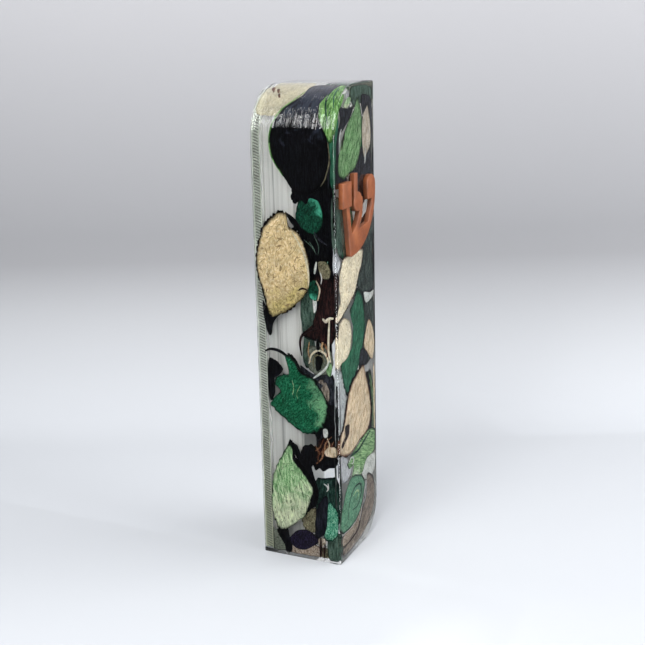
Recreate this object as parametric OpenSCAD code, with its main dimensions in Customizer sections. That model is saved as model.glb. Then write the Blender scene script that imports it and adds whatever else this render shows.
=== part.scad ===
// Mezuzah case: a clear cast block with dried leaves and petals set inside it,
// a scroll chamber open at the back, a printed plate let into the back and a raised emblem.
// X runs across the front, Y from the front (-) to the back (+), Z up the case.
// The origin is the middle of the face that the case stands on.

/* [Case] */
// Width across the front
case_w = 24.5; // [22:0.5:30]
// Depth from the front face to the back of the plate
case_d = 22; // [22:0.5:28]
// Height
case_h = 120; // [116:1:140]
// Radius of the rounded upper left corner, seen from the front
top_round = 13; // [8:0.5:13]
// Radius of the rounded lower right corner, seen from the front
foot_round = 10; // [6:0.5:10]

/* [Scroll chamber] */
// Width of the chamber
chamber_w = 18; // [16:0.5:18]
// Length of the chamber
chamber_l = 108.5; // [104:0.5:110]
// Height of the chamber floor above the foot
chamber_floor = 4; // [3.5:0.5:5]
// Thickness of resin in front of the chamber
front_wall = 10.5; // [10:0.25:10.5]

/* [Back plate] */
// Thickness of the plate
plate_t = 2.4; // [2:0.1:2.6]
// How far its locating rib stands into the chamber
rib_h = 1.2; // [0.6:0.1:1.2]
// Clearance round the locating rib and round the plate in its rebate
rib_gap = 0.2; // [0.15:0.05:0.3]
// Width of the resin rim that the plate is let into
rim_t = 0.8; // [0.8:0.1:1.2]
// Width of the rib's wall
rib_t = 1.5; // [1:0.1:2]

/* [Emblem] */
// How far the emblem stands out of the front face
emblem_t = 1.2; // [0.8:0.1:2]
// Height of the emblem
emblem_h = 20; // [16:0.5:22]
// Height of the emblem's foot above the base of the case
emblem_z = 79; // [70:1:90]

/* [Scroll] */
// Diameter of the rolled parchment
scroll_d = 7.2; // [6:0.1:7.2]
// Width of the parchment, which is the length of the roll
scroll_l = 98; // [80:1:100]
// Diameter of the open middle of the roll
scroll_eye = 2.6; // [2:0.2:3]
// Distance of the roll from the middle of the case, towards its left
scroll_offset = 3; // [2:0.5:5]

/* [Leaves and petals] */
// Thickness of a pressed leaf or petal
leaf_t = 0.4; // [0.3:0.1:0.4]
// Depth of the outermost layer of leaves under the surface
skin = 0.2; // [0.15:0.05:0.2]
// Step in depth from one layer of leaves to the next
layer_step = 1.1; // [0.8:0.1:1.1]

/* [Hidden] */
$fn = 64;
front_y = -case_d / 2;
back_y = case_d / 2;
plate_y = back_y - plate_t;
left_x = -case_w / 2;
chamber_y = front_y + front_wall;
side_step = 0.9;
side_gap = 0.3;
edge_clear = 0.6;
leaf_steps = 14;

// ---- shared outlines ----

// Front view of the case, drawn in XZ: square at two corners, rounded at the other two.
module case_outline(inset = 0) {
    w = case_w - 2 * inset;
    h = case_h - 2 * inset;
    top_c = [left_x + top_round, case_h - top_round];
    foot_c = [-left_x - foot_round, foot_round];
    translate([0, inset]) difference() {
        translate([-w / 2, 0]) square([w, h]);
        translate([left_x, top_c[1] - inset]) square(top_round);
        translate([foot_c[0], -inset]) square(foot_round);
    }
    intersection() {
        translate(top_c) circle(top_round - inset, $fn = 96);
        translate([-w / 2, inset]) square([w, h]);
    }
    translate(foot_c) circle(foot_round - inset, $fn = 96);
}

// A leaf drawn along its own length: belly under 1 puts the widest place near the stalk end.
function half_width(t, width, belly) = width / 2 * pow(sin(180 * pow(t, belly)), 0.8);
function midrib(t, bend) = bend * sin(180 * t);
function leaf_points(length, width, belly, bend) = concat(
    [for (i = [0 : leaf_steps])
        let (t = i / leaf_steps)
        [midrib(t, bend) + half_width(t, width, belly), (t - 0.5) * length]],
    [for (i = [leaf_steps - 1 : -1 : 1])
        let (t = i / leaf_steps)
        [midrib(t, bend) - half_width(t, width, belly), (t - 0.5) * length]]
);

module leaf_outline(at, length, width, turn, belly, bend) {
    translate(at) rotate(turn) polygon(leaf_points(length, width, belly, bend));
}

// Stands a drawing in XZ up as a slab between two places along Y.
module along_y(from, to) {
    translate([0, to, 0]) rotate([90, 0, 0]) linear_extrude(to - from) children();
}

// Stands a drawing in YZ up as a slab between two places along X.
module along_x(from, to) {
    translate([from, 0, 0]) rotate([90, 0, 90]) linear_extrude(to - from) children();
}

// A leaf in the left wall. It follows the outside, over the rounded corner too.
// Only the outermost layer reaches back into the rim beside the plate.
module left_leaf(at, length, width, turn = 0, layer = 0, belly = 0.9, bend = 0) {
    depth = skin + layer * side_step;
    rear = layer == 0 ? back_y : plate_y;
    intersection() {
        along_x(left_x, 0) leaf_outline(at, length, width, turn, belly, bend);
        along_y(front_y + edge_clear, rear - edge_clear) difference() {
            case_outline(depth);
            case_outline(depth + leaf_t);
        }
    }
}

// A leaf in the right wall.
module right_leaf(at, length, width, turn = 0, layer = 0, belly = 0.9, bend = 0) {
    depth = skin + layer * side_step;
    along_x(-left_x - depth - leaf_t, -left_x - depth)
        leaf_outline(at, length, width, turn, belly, bend);
}

// A leaf behind the front face, kept clear of the leaves in the two side walls.
module front_leaf(at, length, width, turn = 0, layer = 0, belly = 0.9, bend = 0) {
    depth = skin + layer * layer_step;
    clear_of_sides = skin + leaf_t + side_gap + layer * side_step;
    along_y(front_y + depth, front_y + depth + leaf_t) intersection() {
        leaf_outline(at, length, width, turn, belly, bend);
        case_outline(clear_of_sides);
    }
}

// ---- the case ----

module chamber() {
    translate([-chamber_w / 2, chamber_y, chamber_floor])
        cube([chamber_w, plate_y - chamber_y + 1, chamber_l]);
}

module resin_body() {
    color("gainsboro", 0.35) difference() {
        along_y(front_y, back_y) case_outline();
        along_y(plate_y, back_y + 1) case_outline(rim_t);
        chamber();
        cast_in_leaves();
    }
}

module back_plate() {
    rib_w = chamber_w - 2 * rib_gap;
    rib_l = chamber_l - 2 * rib_gap;
    color("darkseagreen", 0.8) {
        along_y(plate_y, back_y) case_outline(rim_t + rib_gap);
        along_y(plate_y - rib_h, plate_y)
            translate([-rib_w / 2, chamber_floor + rib_gap]) difference() {
                square([rib_w, rib_l]);
                translate([rib_t, rib_t]) square([rib_w - 2 * rib_t, rib_l - 2 * rib_t]);
            }
    }
}

// A straight bar with round ends, for the arms of the emblem.
module bar(from, to, width) {
    run = to - from;
    translate(from) rotate(atan2(run[1], run[0])) {
        translate([0, -width / 2]) square([norm(run), width]);
        circle(width / 2);
        translate([norm(run), 0]) circle(width / 2);
    }
}

// A curved bar: the part of a ring between two angles less than 120 degrees apart.
module curved_bar(centre, radius, width, from, to) {
    reach = 2 * radius;
    mid = (from + to) / 2;
    intersection() {
        translate(centre) difference() {
            circle(radius + width / 2, $fn = 96);
            circle(radius - width / 2, $fn = 96);
        }
        polygon(concat([centre], [for (a = [from, mid, to]) centre + reach * [cos(a), sin(a)]]));
    }
}

// A plain three-armed shin, drawn on a field 20 wide and 20 high.
module shin_drawing() {
    arm_w = 1.8;
    // left arm: a square head on a straight stem
    translate([0, 12.4]) square([5.2, 6]);
    bar([2.8, 13], [4.8, 1], arm_w);
    // middle arm: a thin crown and a broad shoulder on a curved stem
    translate([7, 13]) square([1.8, 7]);
    translate([9, 13]) circle(2.4);
    curved_bar([3, 12.6], 8, arm_w, -75, 8);
    // right arm: a round head on a wide curve down to the foot
    translate([17.4, 16]) circle(2.6);
    translate([15, 12.6]) square([3.4, 4.4]);
    curved_bar([5, 15.2], 14, arm_w + 0.2, -92, 4);
    // the solid wedge that joins the arms at the foot
    polygon([[3.9, 0.4], [6, 0.4], [13.5, 4.8], [15.2, 7], [4.4, 5.8]]);
}

module shin_emblem() {
    s = emblem_h / 20;
    color("sienna")
        along_y(front_y - emblem_t, front_y)
            translate([-10 * s, emblem_z]) scale(s) shin_drawing();
}

module parchment_scroll() {
    scroll_y = (chamber_y + plate_y - rib_h) / 2;
    color("wheat")
        translate([-scroll_offset, scroll_y, chamber_floor + rib_gap]) difference() {
            cylinder(h = scroll_l, d = scroll_d);
            translate([0, 0, -1]) cylinder(h = scroll_l + 2, d = scroll_eye);
        }
}

// ---- leaves and petals in the left wall, from the top down ----

module black_petal_top() {
    color("black") left_leaf([-4.4, 107.5], 31, 15.5, 8, 0, 1.25);
}

module cream_petal_top() {
    color("wheat") left_leaf([3.6, 117.5], 8.4, 8.2, 60, 1, 1);
}

module bright_green_leaf_top() {
    color("yellowgreen") left_leaf([-6.6, 110.5], 19, 6.6, 10, 1, 1);
}

module small_green_leaf() {
    color("darkgreen") left_leaf([-4.2, 90.2], 10, 8, 8, 1, 1);
}

module large_cream_leaf() {
    color("burlywood") left_leaf([3.4, 76.4], 29, 14.5, 10, 0, 1);
}

module bark_strip() {
    color("darkslategray") left_leaf([-7.2, 66.5], 18, 5, 6, 1, 1, 0.6);
}

module copper_petal_mid() {
    color("saddlebrown") left_leaf([-5.8, 53.4], 9, 5, 15, 2, 1);
}

module emerald_leaf() {
    color("seagreen") left_leaf([-1, 44.4], 23, 15, 18, 0, 0.8);
}

module black_petal_curl() {
    color("black") left_leaf([5.6, 47.4], 10, 4, -8, 1, 1, 0.6);
}

module copper_petal_low() {
    color("sienna") left_leaf([-6.8, 30.6], 8, 5.4, -10, 1, 1);
}

module light_green_leaf() {
    color("mediumseagreen") left_leaf([2, 18.6], 25, 12, 6, 0, 1);
}

module dark_teal_leaf() {
    color("teal") left_leaf([-7.2, 16.4], 19, 4.4, 2, 0, 1);
}

module purple_seed_pod() {
    color("indigo") left_leaf([0.4, 4.4], 8, 4.6, 88, 1, 1);
}

module beige_petal_base() {
    color("tan") left_leaf([-4.4, 5], 8, 3.4, 84, 2, 1);
}

// ---- leaves and petals behind the front face, from the top down ----

module sage_leaf() {
    color("darkseagreen") front_leaf([-3.6, 106.6], 16.5, 10.5, -28, 0, 1.1);
}

module narrow_beige_petal() {
    color("tan") front_leaf([7.6, 108.6], 16, 4.4, 4, 1, 1);
}

module black_petal_front() {
    color("black") front_leaf([4.4, 93], 28, 11, -12, 2, 1);
}

module dark_green_leaf_front() {
    color("darkgreen") front_leaf([-6.6, 87], 16, 7.2, 10, 1, 1);
}

module cream_leaf_front() {
    color("burlywood") front_leaf([-3.6, 71.4], 18, 8.6, -38, 0, 1.05);
}

module cream_petal_front() {
    color("wheat") front_leaf([-5.8, 58.4], 13, 9, 6, 1, 1);
}

module long_teal_leaf() {
    color("teal") front_leaf([-1.6, 56.4], 26, 7, -26, 2, 1, -2);
}

module beige_petal_front() {
    color("tan") front_leaf([6.8, 53.6], 13, 7, 4, 1, 1);
}

module tan_leaf() {
    color("peru") front_leaf([-0.6, 38.6], 20, 12.5, -22, 0, 0.85);
}

module pale_green_leaf_front() {
    color("mediumaquamarine") front_leaf([3, 25.4], 15, 8, 76, 1, 1);
}

module teal_leaf_front() {
    color("teal") front_leaf([-3.4, 13.2], 16.5, 11, -14, 0, 1);
}

module brown_petal_base() {
    color("rosybrown") front_leaf([3, 8.6], 14, 8, -66, 2, 1);
}

// ---- dark leaves deeper in the thick resin in front of the chamber ----

module black_petal_corner_top() {
    color("black") left_leaf([-4.6, 92], 22, 6.4, 0, 3, 1);
}

module black_petal_corner_mid() {
    color("black") left_leaf([-4.6, 70], 20, 6.4, 0, 3, 1);
}

module teal_leaf_corner() {
    color("darkslategray") left_leaf([-3.2, 66], 13, 3.6, 0, 2, 1);
}

module black_petal_corner_low() {
    color("black") left_leaf([-4.6, 41], 18, 6.4, 0, 3, 1);
}

module dark_teal_leaf_corner() {
    color("darkslategray") left_leaf([-4.4, 15.5], 16, 6, 0, 3, 1);
}

module navy_petal_front() {
    color("midnightblue") front_leaf([-4.6, 107], 19, 10, 0, 2, 1);
}

module slate_petal_front() {
    color("dimgray") front_leaf([5.6, 73], 17, 9, 10, 3, 1);
}

// ---- leaves and petals in the right wall ----

module green_leaf_right() {
    color("seagreen") right_leaf([-1.6, 101], 22, 12, -8, 0, 0.9);
}

module cream_leaf_right() {
    color("burlywood") right_leaf([-2.4, 74], 26, 12, 10, 0, 1);
}

module black_petal_right() {
    color("black") right_leaf([1.2, 54], 16, 9, -20, 1, 1);
}

module sage_leaf_right() {
    color("darkseagreen") right_leaf([-2.4, 33], 22, 12, 8, 0, 0.9);
}

// Every cast-in piece, so that the resin closes round each of them.
module cast_in_leaves() {
    black_petal_top();
    cream_petal_top();
    bright_green_leaf_top();
    small_green_leaf();
    large_cream_leaf();
    bark_strip();
    copper_petal_mid();
    emerald_leaf();
    black_petal_curl();
    copper_petal_low();
    light_green_leaf();
    dark_teal_leaf();
    purple_seed_pod();
    beige_petal_base();
    sage_leaf();
    narrow_beige_petal();
    black_petal_front();
    dark_green_leaf_front();
    cream_leaf_front();
    cream_petal_front();
    long_teal_leaf();
    beige_petal_front();
    tan_leaf();
    pale_green_leaf_front();
    teal_leaf_front();
    brown_petal_base();
    black_petal_corner_top();
    black_petal_corner_mid();
    teal_leaf_corner();
    black_petal_corner_low();
    dark_teal_leaf_corner();
    navy_petal_front();
    slate_petal_front();
    green_leaf_right();
    cream_leaf_right();
    black_petal_right();
    sage_leaf_right();
}

resin_body();
back_plate();
shin_emblem();
parchment_scroll();
black_petal_top();
cream_petal_top();
bright_green_leaf_top();
small_green_leaf();
large_cream_leaf();
bark_strip();
copper_petal_mid();
emerald_leaf();
black_petal_curl();
copper_petal_low();
light_green_leaf();
dark_teal_leaf();
purple_seed_pod();
beige_petal_base();
sage_leaf();
narrow_beige_petal();
black_petal_front();
dark_green_leaf_front();
cream_leaf_front();
cream_petal_front();
long_teal_leaf();
beige_petal_front();
tan_leaf();
pale_green_leaf_front();
teal_leaf_front();
brown_petal_base();
black_petal_corner_top();
black_petal_corner_mid();
teal_leaf_corner();
black_petal_corner_low();
dark_teal_leaf_corner();
navy_petal_front();
slate_petal_front();
green_leaf_right();
cream_leaf_right();
black_petal_right();
sage_leaf_right();
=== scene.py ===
import math

import bmesh
import bpy
import numpy as np
from mathutils import Matrix, Vector, noise


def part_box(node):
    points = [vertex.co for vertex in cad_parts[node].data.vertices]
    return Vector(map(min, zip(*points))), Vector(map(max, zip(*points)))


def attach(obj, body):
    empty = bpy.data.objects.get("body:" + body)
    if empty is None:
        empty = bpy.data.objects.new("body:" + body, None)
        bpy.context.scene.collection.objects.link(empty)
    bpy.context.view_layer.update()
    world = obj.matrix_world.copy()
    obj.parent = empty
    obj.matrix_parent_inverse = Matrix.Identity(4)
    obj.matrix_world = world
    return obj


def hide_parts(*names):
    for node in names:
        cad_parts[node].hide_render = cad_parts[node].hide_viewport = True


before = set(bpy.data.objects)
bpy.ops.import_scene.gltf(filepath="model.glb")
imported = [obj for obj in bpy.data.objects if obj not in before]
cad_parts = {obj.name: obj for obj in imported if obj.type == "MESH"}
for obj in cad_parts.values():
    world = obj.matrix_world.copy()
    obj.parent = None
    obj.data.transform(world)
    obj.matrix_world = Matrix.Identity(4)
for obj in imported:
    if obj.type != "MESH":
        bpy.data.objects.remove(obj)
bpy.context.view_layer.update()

MM = 0.001

# ---- sizes, in millimetres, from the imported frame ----

body_low, body_high = (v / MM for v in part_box("resin_body"))
plate_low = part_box("back_plate")[0] / MM
scroll_low, scroll_high = (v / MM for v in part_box("parchment_scroll"))
emblem_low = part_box("shin_emblem")[0] / MM

LEFT_X, RIGHT_X = body_low.x, body_high.x
FRONT_Y, BACK_Y = body_low.y, body_high.y
CASE_H = body_high.z
TOP_ROUND = 13.0  # radius of the upper left corner, seen from the front
FOOT_ROUND = 10.0  # radius of the lower right corner
PLATE_GAP = 0.2  # clearance round the plate and its rib
RIM = plate_low.x - LEFT_X - PLATE_GAP  # resin beside the plate
PLATE_T = 2.4
PLATE_Y = BACK_Y - PLATE_T
CHAMBER_X = 9.0  # half of the scroll chamber's width
CHAMBER_FRONT = FRONT_Y + 10.5
CHAMBER_FLOOR = 4.0
CHAMBER_TOP = CHAMBER_FLOOR + 108.5
TURN_Z = CASE_H - TOP_ROUND  # where the left wall starts to turn into the top
TURN_X = LEFT_X + TOP_ROUND
FRONT_EDGE = 0.35  # radius of the block's front edge
BACK_EDGE = 0.15  # bevel of its back edge
RIDGE_PITCH = 0.95  # spacing of the fine lines that the mould leaves round the sides
RIDGE_DEPTH = 0.02
CHAMBER_RIBS = 64  # fine upright ribs on the chamber's walls
CHAMBER_RIB_H = 0.03

PLATE_SEAT = 0.02  # thin gap between the plate and the rebate's floor
RUNG_PITCH = 0.7  # spacing of the rungs in the plate's edge
RUNG_SLANT = 0.35
RIB_T = 1.5  # the plate's locating rib
RIB_BEVEL = 0.15

SHEET_T = 0.2  # the rolled parchment
SHEET_EYE = 1.35  # radius of the hole in the roll
SHEET_TURNS = 4.5
SHEET_STEPS, SHEET_ROWS = 420, 26

SKIN = 0.2  # least resin between a leaf's edge and the outside
LEAST_DEPTH = 0.14  # least depth of a leaf's middle plane
FOLD_SIZE, CREASE_SIZE = 3.0, 1.1  # of a leaf's uneven surface
MIDRIB_H, MIDRIB_W = 0.08, 0.45
CURVE_STEPS = 10  # points of a curve from one given point to the next
STRAND_SIDES = 8

VIEW_YAW = math.radians(64.94)  # the camera's aim, from +Y towards +X
VIEW_PITCH = math.radians(15.16)
VIEW_ROLL = math.radians(-1.26)
CAMERA_AT = Vector((-245.0, -116.0, 133.6))
FOCAL = 61.4  # lens in millimetres for a 36 mm sensor
FLOOR_GAP = 0.02  # the paper lies this far under the case
CARD_FOOT = 0.1  # height of the mirrored cards' lower edge

BLACK, WHITE = (0, 0, 0), (1, 1, 1)
FROSTED = 1  # the block's second material


# ---- small helpers ----

def new_object(name, bm, materials, smooth=True):
    """A mesh object in metres from a bmesh in millimetres."""
    bmesh.ops.recalc_face_normals(bm, faces=bm.faces)
    mesh = bpy.data.meshes.new(name)
    bm.to_mesh(mesh)
    bm.free()
    mesh.transform(Matrix.Scale(MM, 4))
    for material in materials:
        mesh.materials.append(material)
    if smooth:
        mesh.shade_smooth()
    obj = bpy.data.objects.new(name, mesh)
    bpy.context.scene.collection.objects.link(obj)
    return obj


def place(obj, body, slot, *nodes):
    """Joins a finished piece to its body and hides the CAD nodes it stands for. Its material slot is not
    used.
    """
    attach(obj, body)
    if nodes:
        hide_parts(*nodes)


def noise_at(x, y, z, scale, seed):
    """Smooth noise from about -1 to 1, with a feature size of about scale millimetres."""
    return noise.noise(Vector((x / scale + seed * 7.3, y / scale - seed * 3.1, z / scale + seed * 1.7)))


def spline_points(a, b, c, d, steps):
    """Places from b up to c on the Catmull-Rom spline through a, b, c and d."""
    a, b, c, d = (np.array(p, float) for p in (a, b, c, d))
    for s in range(steps):
        t = s / steps
        yield 0.5 * (2 * b + (c - a) * t + (2 * a - 5 * b + 4 * c - d) * t**2
                     + (3 * b - a - 3 * c + d) * t**3)


def closed_curve(points, steps):
    """A smooth closed line through a few points."""
    line = []
    for i in range(len(points)):
        line += spline_points(*(points[(i + k) % len(points)] for k in (-1, 0, 1, 2)), steps)
    return line


def open_curve(points, steps):
    """A smooth line through a few points, from the first to the last."""
    line = []
    ends = [points[0]] + points + [points[-1]]
    for four in zip(ends, ends[1:], ends[2:], ends[3:]):
        line += spline_points(*four, steps)
    return line + [np.array(points[-1], float)]


def bridge(bm, a, b, material=0):
    """Faces between two loops of the same number of points."""
    for i in range(len(a)):
        j = (i + 1) % len(a)
        face = bm.faces.new([a[i], a[j], b[j], b[i]])
        face.material_index = material


# ---- materials ----

class Nodes:
    """A short way to write a node tree."""

    def __init__(self, name):
        self.material = bpy.data.materials.new(name)
        self.material.use_nodes = True
        self.tree = self.material.node_tree
        self.tree.nodes.clear()
        self.output = self.add("ShaderNodeOutputMaterial")

    def add(self, kind, **settings):
        """A node, with its properties and the values of its sockets set by name."""
        node = self.tree.nodes.new(kind)
        for key, value in settings.items():
            if hasattr(node, key):
                setattr(node, key, value)
            else:
                node.inputs[key.replace("_", " ")].default_value = value
        return node

    def link(self, source, target):
        self.tree.links.new(source, target)

    def feed(self, value, socket):
        """Links a socket, or sets a colour or a number."""
        if isinstance(value, bpy.types.NodeSocket):
            self.link(value, socket)
        elif isinstance(value, tuple):
            socket.default_value = (*value, 1.0)
        else:
            socket.default_value = value

    def principled(self, **sockets):
        node = self.add("ShaderNodeBsdfPrincipled", **sockets)
        self.link(node.outputs[0], self.output.inputs[0])
        return node

    def coords(self, scale=(1, 1, 1)):
        coord = self.add("ShaderNodeTexCoord")
        mapping = self.add("ShaderNodeMapping", Scale=scale)
        self.link(coord.outputs["Object"], mapping.inputs[0])
        return mapping.outputs[0]

    def height(self, factor):
        """The height above the ground in metres, times a factor."""
        place_z = self.add("ShaderNodeSeparateXYZ")
        self.link(self.coords(), place_z.inputs[0])
        return self.math("MULTIPLY", place_z.outputs[2], factor)

    def attribute(self, name):
        return self.add("ShaderNodeAttribute", attribute_name=name).outputs["Fac"]

    def noise(self, vector, scale, detail, roughness, distortion=0.0):
        node = self.add("ShaderNodeTexNoise", Scale=scale, Detail=detail, Roughness=roughness,
                        Distortion=distortion)
        self.link(vector, node.inputs["Vector"])
        return node.outputs["Fac"]

    def ramp(self, value, stops):
        node = self.add("ShaderNodeValToRGB")
        elements = node.color_ramp.elements
        while len(elements) < len(stops):
            elements.new(0.5)
        for element, (position, colour) in zip(elements, stops):
            element.position = position
            element.color = (*colour, 1.0)
        self.link(value, node.inputs[0])
        return node.outputs[0]

    def mix(self, factor, a, b, blend="MIX"):
        node = self.add("ShaderNodeMix", data_type="RGBA", blend_type=blend)
        for value, index in ((factor, 0), (a, 6), (b, 7)):
            self.feed(value, node.inputs[index])
        return node.outputs[2]

    def math(self, operation, a, b):
        node = self.add("ShaderNodeMath", operation=operation)
        self.feed(a, node.inputs[0])
        self.feed(b, node.inputs[1])
        return node.outputs[0]

    def times(self, a, b):
        return self.math("MULTIPLY", a, b)

    def plus(self, a, b):
        return self.math("ADD", a, b)

    def spread(self, pattern, amount):
        """A pattern round 0.5, as a shift to either side."""
        return self.times(self.math("SUBTRACT", pattern, 0.5), amount)

    def bump(self, height, shader, strength, distance):
        node = self.add("ShaderNodeBump", Strength=strength, Distance=distance)
        self.link(height, node.inputs["Height"])
        self.link(node.outputs[0], shader.inputs["Normal"])


def resin_material():
    """Clear cast epoxy: a glass with fine mould streaks up its sides and a few soft waves, both
    stronger round the rounded top."""
    n = Nodes("clear_resin")
    shader = n.principled(Base_Color=(0.97, 0.985, 0.97, 1), Roughness=0.015, IOR=1.5,
                          Transmission_Weight=1.0)
    waves = n.noise(n.coords(), 220, 2.0, 0.5)
    streaks = n.noise(n.coords((70, 950, 70)), 1.0, 2.0, 0.5)
    top = n.ramp(n.height(8.0), [(0.8, BLACK), (0.88, WHITE)])
    waves = n.times(waves, n.plus(n.times(top, 0.5), 0.25))
    streaks = n.times(streaks, n.plus(n.times(top, 0.8), 1.0))
    n.bump(n.plus(waves, streaks), shader, 0.5, 0.00022)
    return n.material


def frosted_material():
    """The chamber's walls: resin that has taken the matt skin and upright streaks of its mould."""
    n = Nodes("frosted_resin")
    shader = n.principled(Base_Color=(0.9, 0.9, 0.88, 1), Roughness=0.45, IOR=1.5,
                          Transmission_Weight=0.3)
    fine = n.noise(n.coords((60, 1500, 10)), 1.0, 4.0, 0.7)
    broad = n.noise(n.coords((40, 420, 6)), 1.0, 2.0, 0.5)
    streaks = n.plus(n.times(fine, 0.6), n.times(broad, 0.4))
    colour = n.ramp(streaks, [(0.37, (0.42, 0.42, 0.4)), (0.45, (0.8, 0.79, 0.76)),
                              (0.56, (0.97, 0.965, 0.94))])
    n.link(colour, shader.inputs["Base Color"])
    n.bump(streaks, shader, 0.5, 0.0002)
    return n.material


def plate_material():
    """Printed translucent plate: grey-green and cloudy, with painted shade in the dents between its rungs."""
    n = Nodes("printed_plate")
    shader = n.principled(Base_Color=(0.3, 0.33, 0.26, 1), Roughness=0.34, IOR=1.48,
                          Transmission_Weight=0.15)
    cloud = n.noise(n.coords(), 260, 4.0, 0.7)
    tone = n.ramp(cloud, [(0.3, (0.29, 0.31, 0.26)), (0.5, (0.47, 0.5, 0.43)), (0.7, (0.7, 0.73, 0.65))])
    low = n.ramp(n.height(20.0), [(0.2, WHITE), (0.9, BLACK)])
    colour = n.mix(n.times(low, 0.7), tone, (0.3, 0.32, 0.17))
    # painted shade: the deepest part of each rung's dent is tinted near-black
    rungs = n.ramp(n.attribute("rung"), [(0.35, BLACK), (0.75, (0.95,) * 3)])
    n.link(n.mix(rungs, colour, (0.055, 0.06, 0.045)), shader.inputs["Base Color"])
    n.bump(cloud, shader, 0.3, 0.00015)
    return n.material


def emblem_material():
    """Satin copper-coloured plastic with a fine grain."""
    n = Nodes("copper_emblem")
    shader = n.principled(Base_Color=(0.5, 0.16, 0.07, 1), Roughness=0.42, Metallic=0.0, IOR=1.5,
                          Specular_IOR_Level=0.35)
    grain = n.noise(n.coords(), 1600, 3.0, 0.6)
    patches = n.noise(n.coords(), 240, 3.0, 0.55)
    base = n.ramp(patches, [(0.3, (0.11, 0.03, 0.012)), (0.52, (0.195, 0.052, 0.018)),
                            (0.75, (0.28, 0.088, 0.03))])
    n.link(n.mix(n.times(grain, 0.2), base, (0.4, 0.16, 0.06)), shader.inputs["Base Color"])
    n.link(n.ramp(grain, [(0.3, (0.34,) * 3), (0.7, (0.52,) * 3)]), shader.inputs["Roughness"])
    n.bump(grain, shader, 0.35, 0.00006)
    return n.material


def parchment_material():
    """Pale rolled parchment with faint fibres."""
    n = Nodes("parchment")
    shader = n.principled(Base_Color=(0.8, 0.76, 0.66, 1), Roughness=0.7)
    fibre = n.noise(n.coords((400, 400, 60)), 1.0, 5.0, 0.7)
    spots = n.noise(n.coords(), 160, 3.0, 0.6)
    base = n.ramp(fibre, [(0.3, (0.66, 0.6, 0.47)), (0.6, (0.82, 0.78, 0.68)), (0.85, (0.9, 0.87, 0.79))])
    n.link(n.mix(n.times(spots, 0.35), base, (0.7, 0.6, 0.42)), shader.inputs["Base Color"])
    n.bump(fibre, shader, 0.3, 0.0001)
    return n.material


def srgb(red, green, blue):
    """A colour given the way a paint chart does, 0 to 255, as the shader wants it."""
    def level(c):
        c /= 255
        return c / 12.92 if c <= 0.04045 else ((c + 0.055) / 1.055) ** 2.4
    return level(red), level(green), level(blue)


def faded(n, body, mixed, patches, fade, fade_at):
    """The leaf's colour, turning into another from fade_at on towards one end of it. Most looks use this for
    a real change of tint; on the black petal it paints highlight streaks.
    """
    reach = n.plus(n.attribute("end"), n.spread(patches, 0.9))
    mask = n.ramp(reach, [(max(0, fade_at - 0.12), BLACK), (min(1, fade_at + 0.12), WHITE)])
    low, high = (tuple(min(1, share * c) for c in srgb(*fade)) for share in (0.42, 1.3))
    return n.mix(mask, body, n.ramp(mixed, [(0.4, low), (0.5, srgb(*fade)), (0.6, high)]))


def pitted(n, colour, uv, rim, pits):
    """The leaf's colour with small dark holes here and there."""
    holes = n.add("ShaderNodeTexVoronoi", voronoi_dimensions="3D", Scale=15.0)
    n.link(uv, holes.inputs["Vector"])
    spots = n.ramp(holes.outputs["Distance"], [(0.0, WHITE), (0.1, WHITE), (0.22, BLACK)])
    few = n.ramp(n.noise(uv, 9, 2.0, 0.5), [(0.46, BLACK), (0.6, WHITE)])
    return n.mix(n.times(n.times(spots, few), pits), colour, rim)


def wrinkle_lines(n, uv, fibre_uv, wrinkles):
    """How dark the leaf's wrinkles are: thin broken lines along its fibres, partly its own dark cracks and
    partly painted shade in the creases.
    """
    folds = n.times(n.noise(fibre_uv, 3.2, 2.0, 0.5, 1.2), 9.0)
    lines = n.ramp(n.math("PINGPONG", folds, 0.5), [(0.0, WHITE), (0.05, WHITE), (0.17, BLACK)])
    few = n.ramp(n.noise(uv, 7, 2.0, 0.5), [(0.42, BLACK), (0.58, WHITE)])
    return n.times(n.times(lines, few), 0.62 * wrinkles)


def rim_mask(n, patches, fibres, width):
    """The leaf's dark rim, of uneven width."""
    ragged = n.plus(n.attribute("edge"), n.spread(patches, 0.16))
    ragged = n.plus(ragged, n.spread(fibres, 0.1))
    start = 1.0 - width
    return n.ramp(ragged, [(0.0, BLACK), (start - 0.05, BLACK), (min(start + 0.03, 1), WHITE)])


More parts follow.
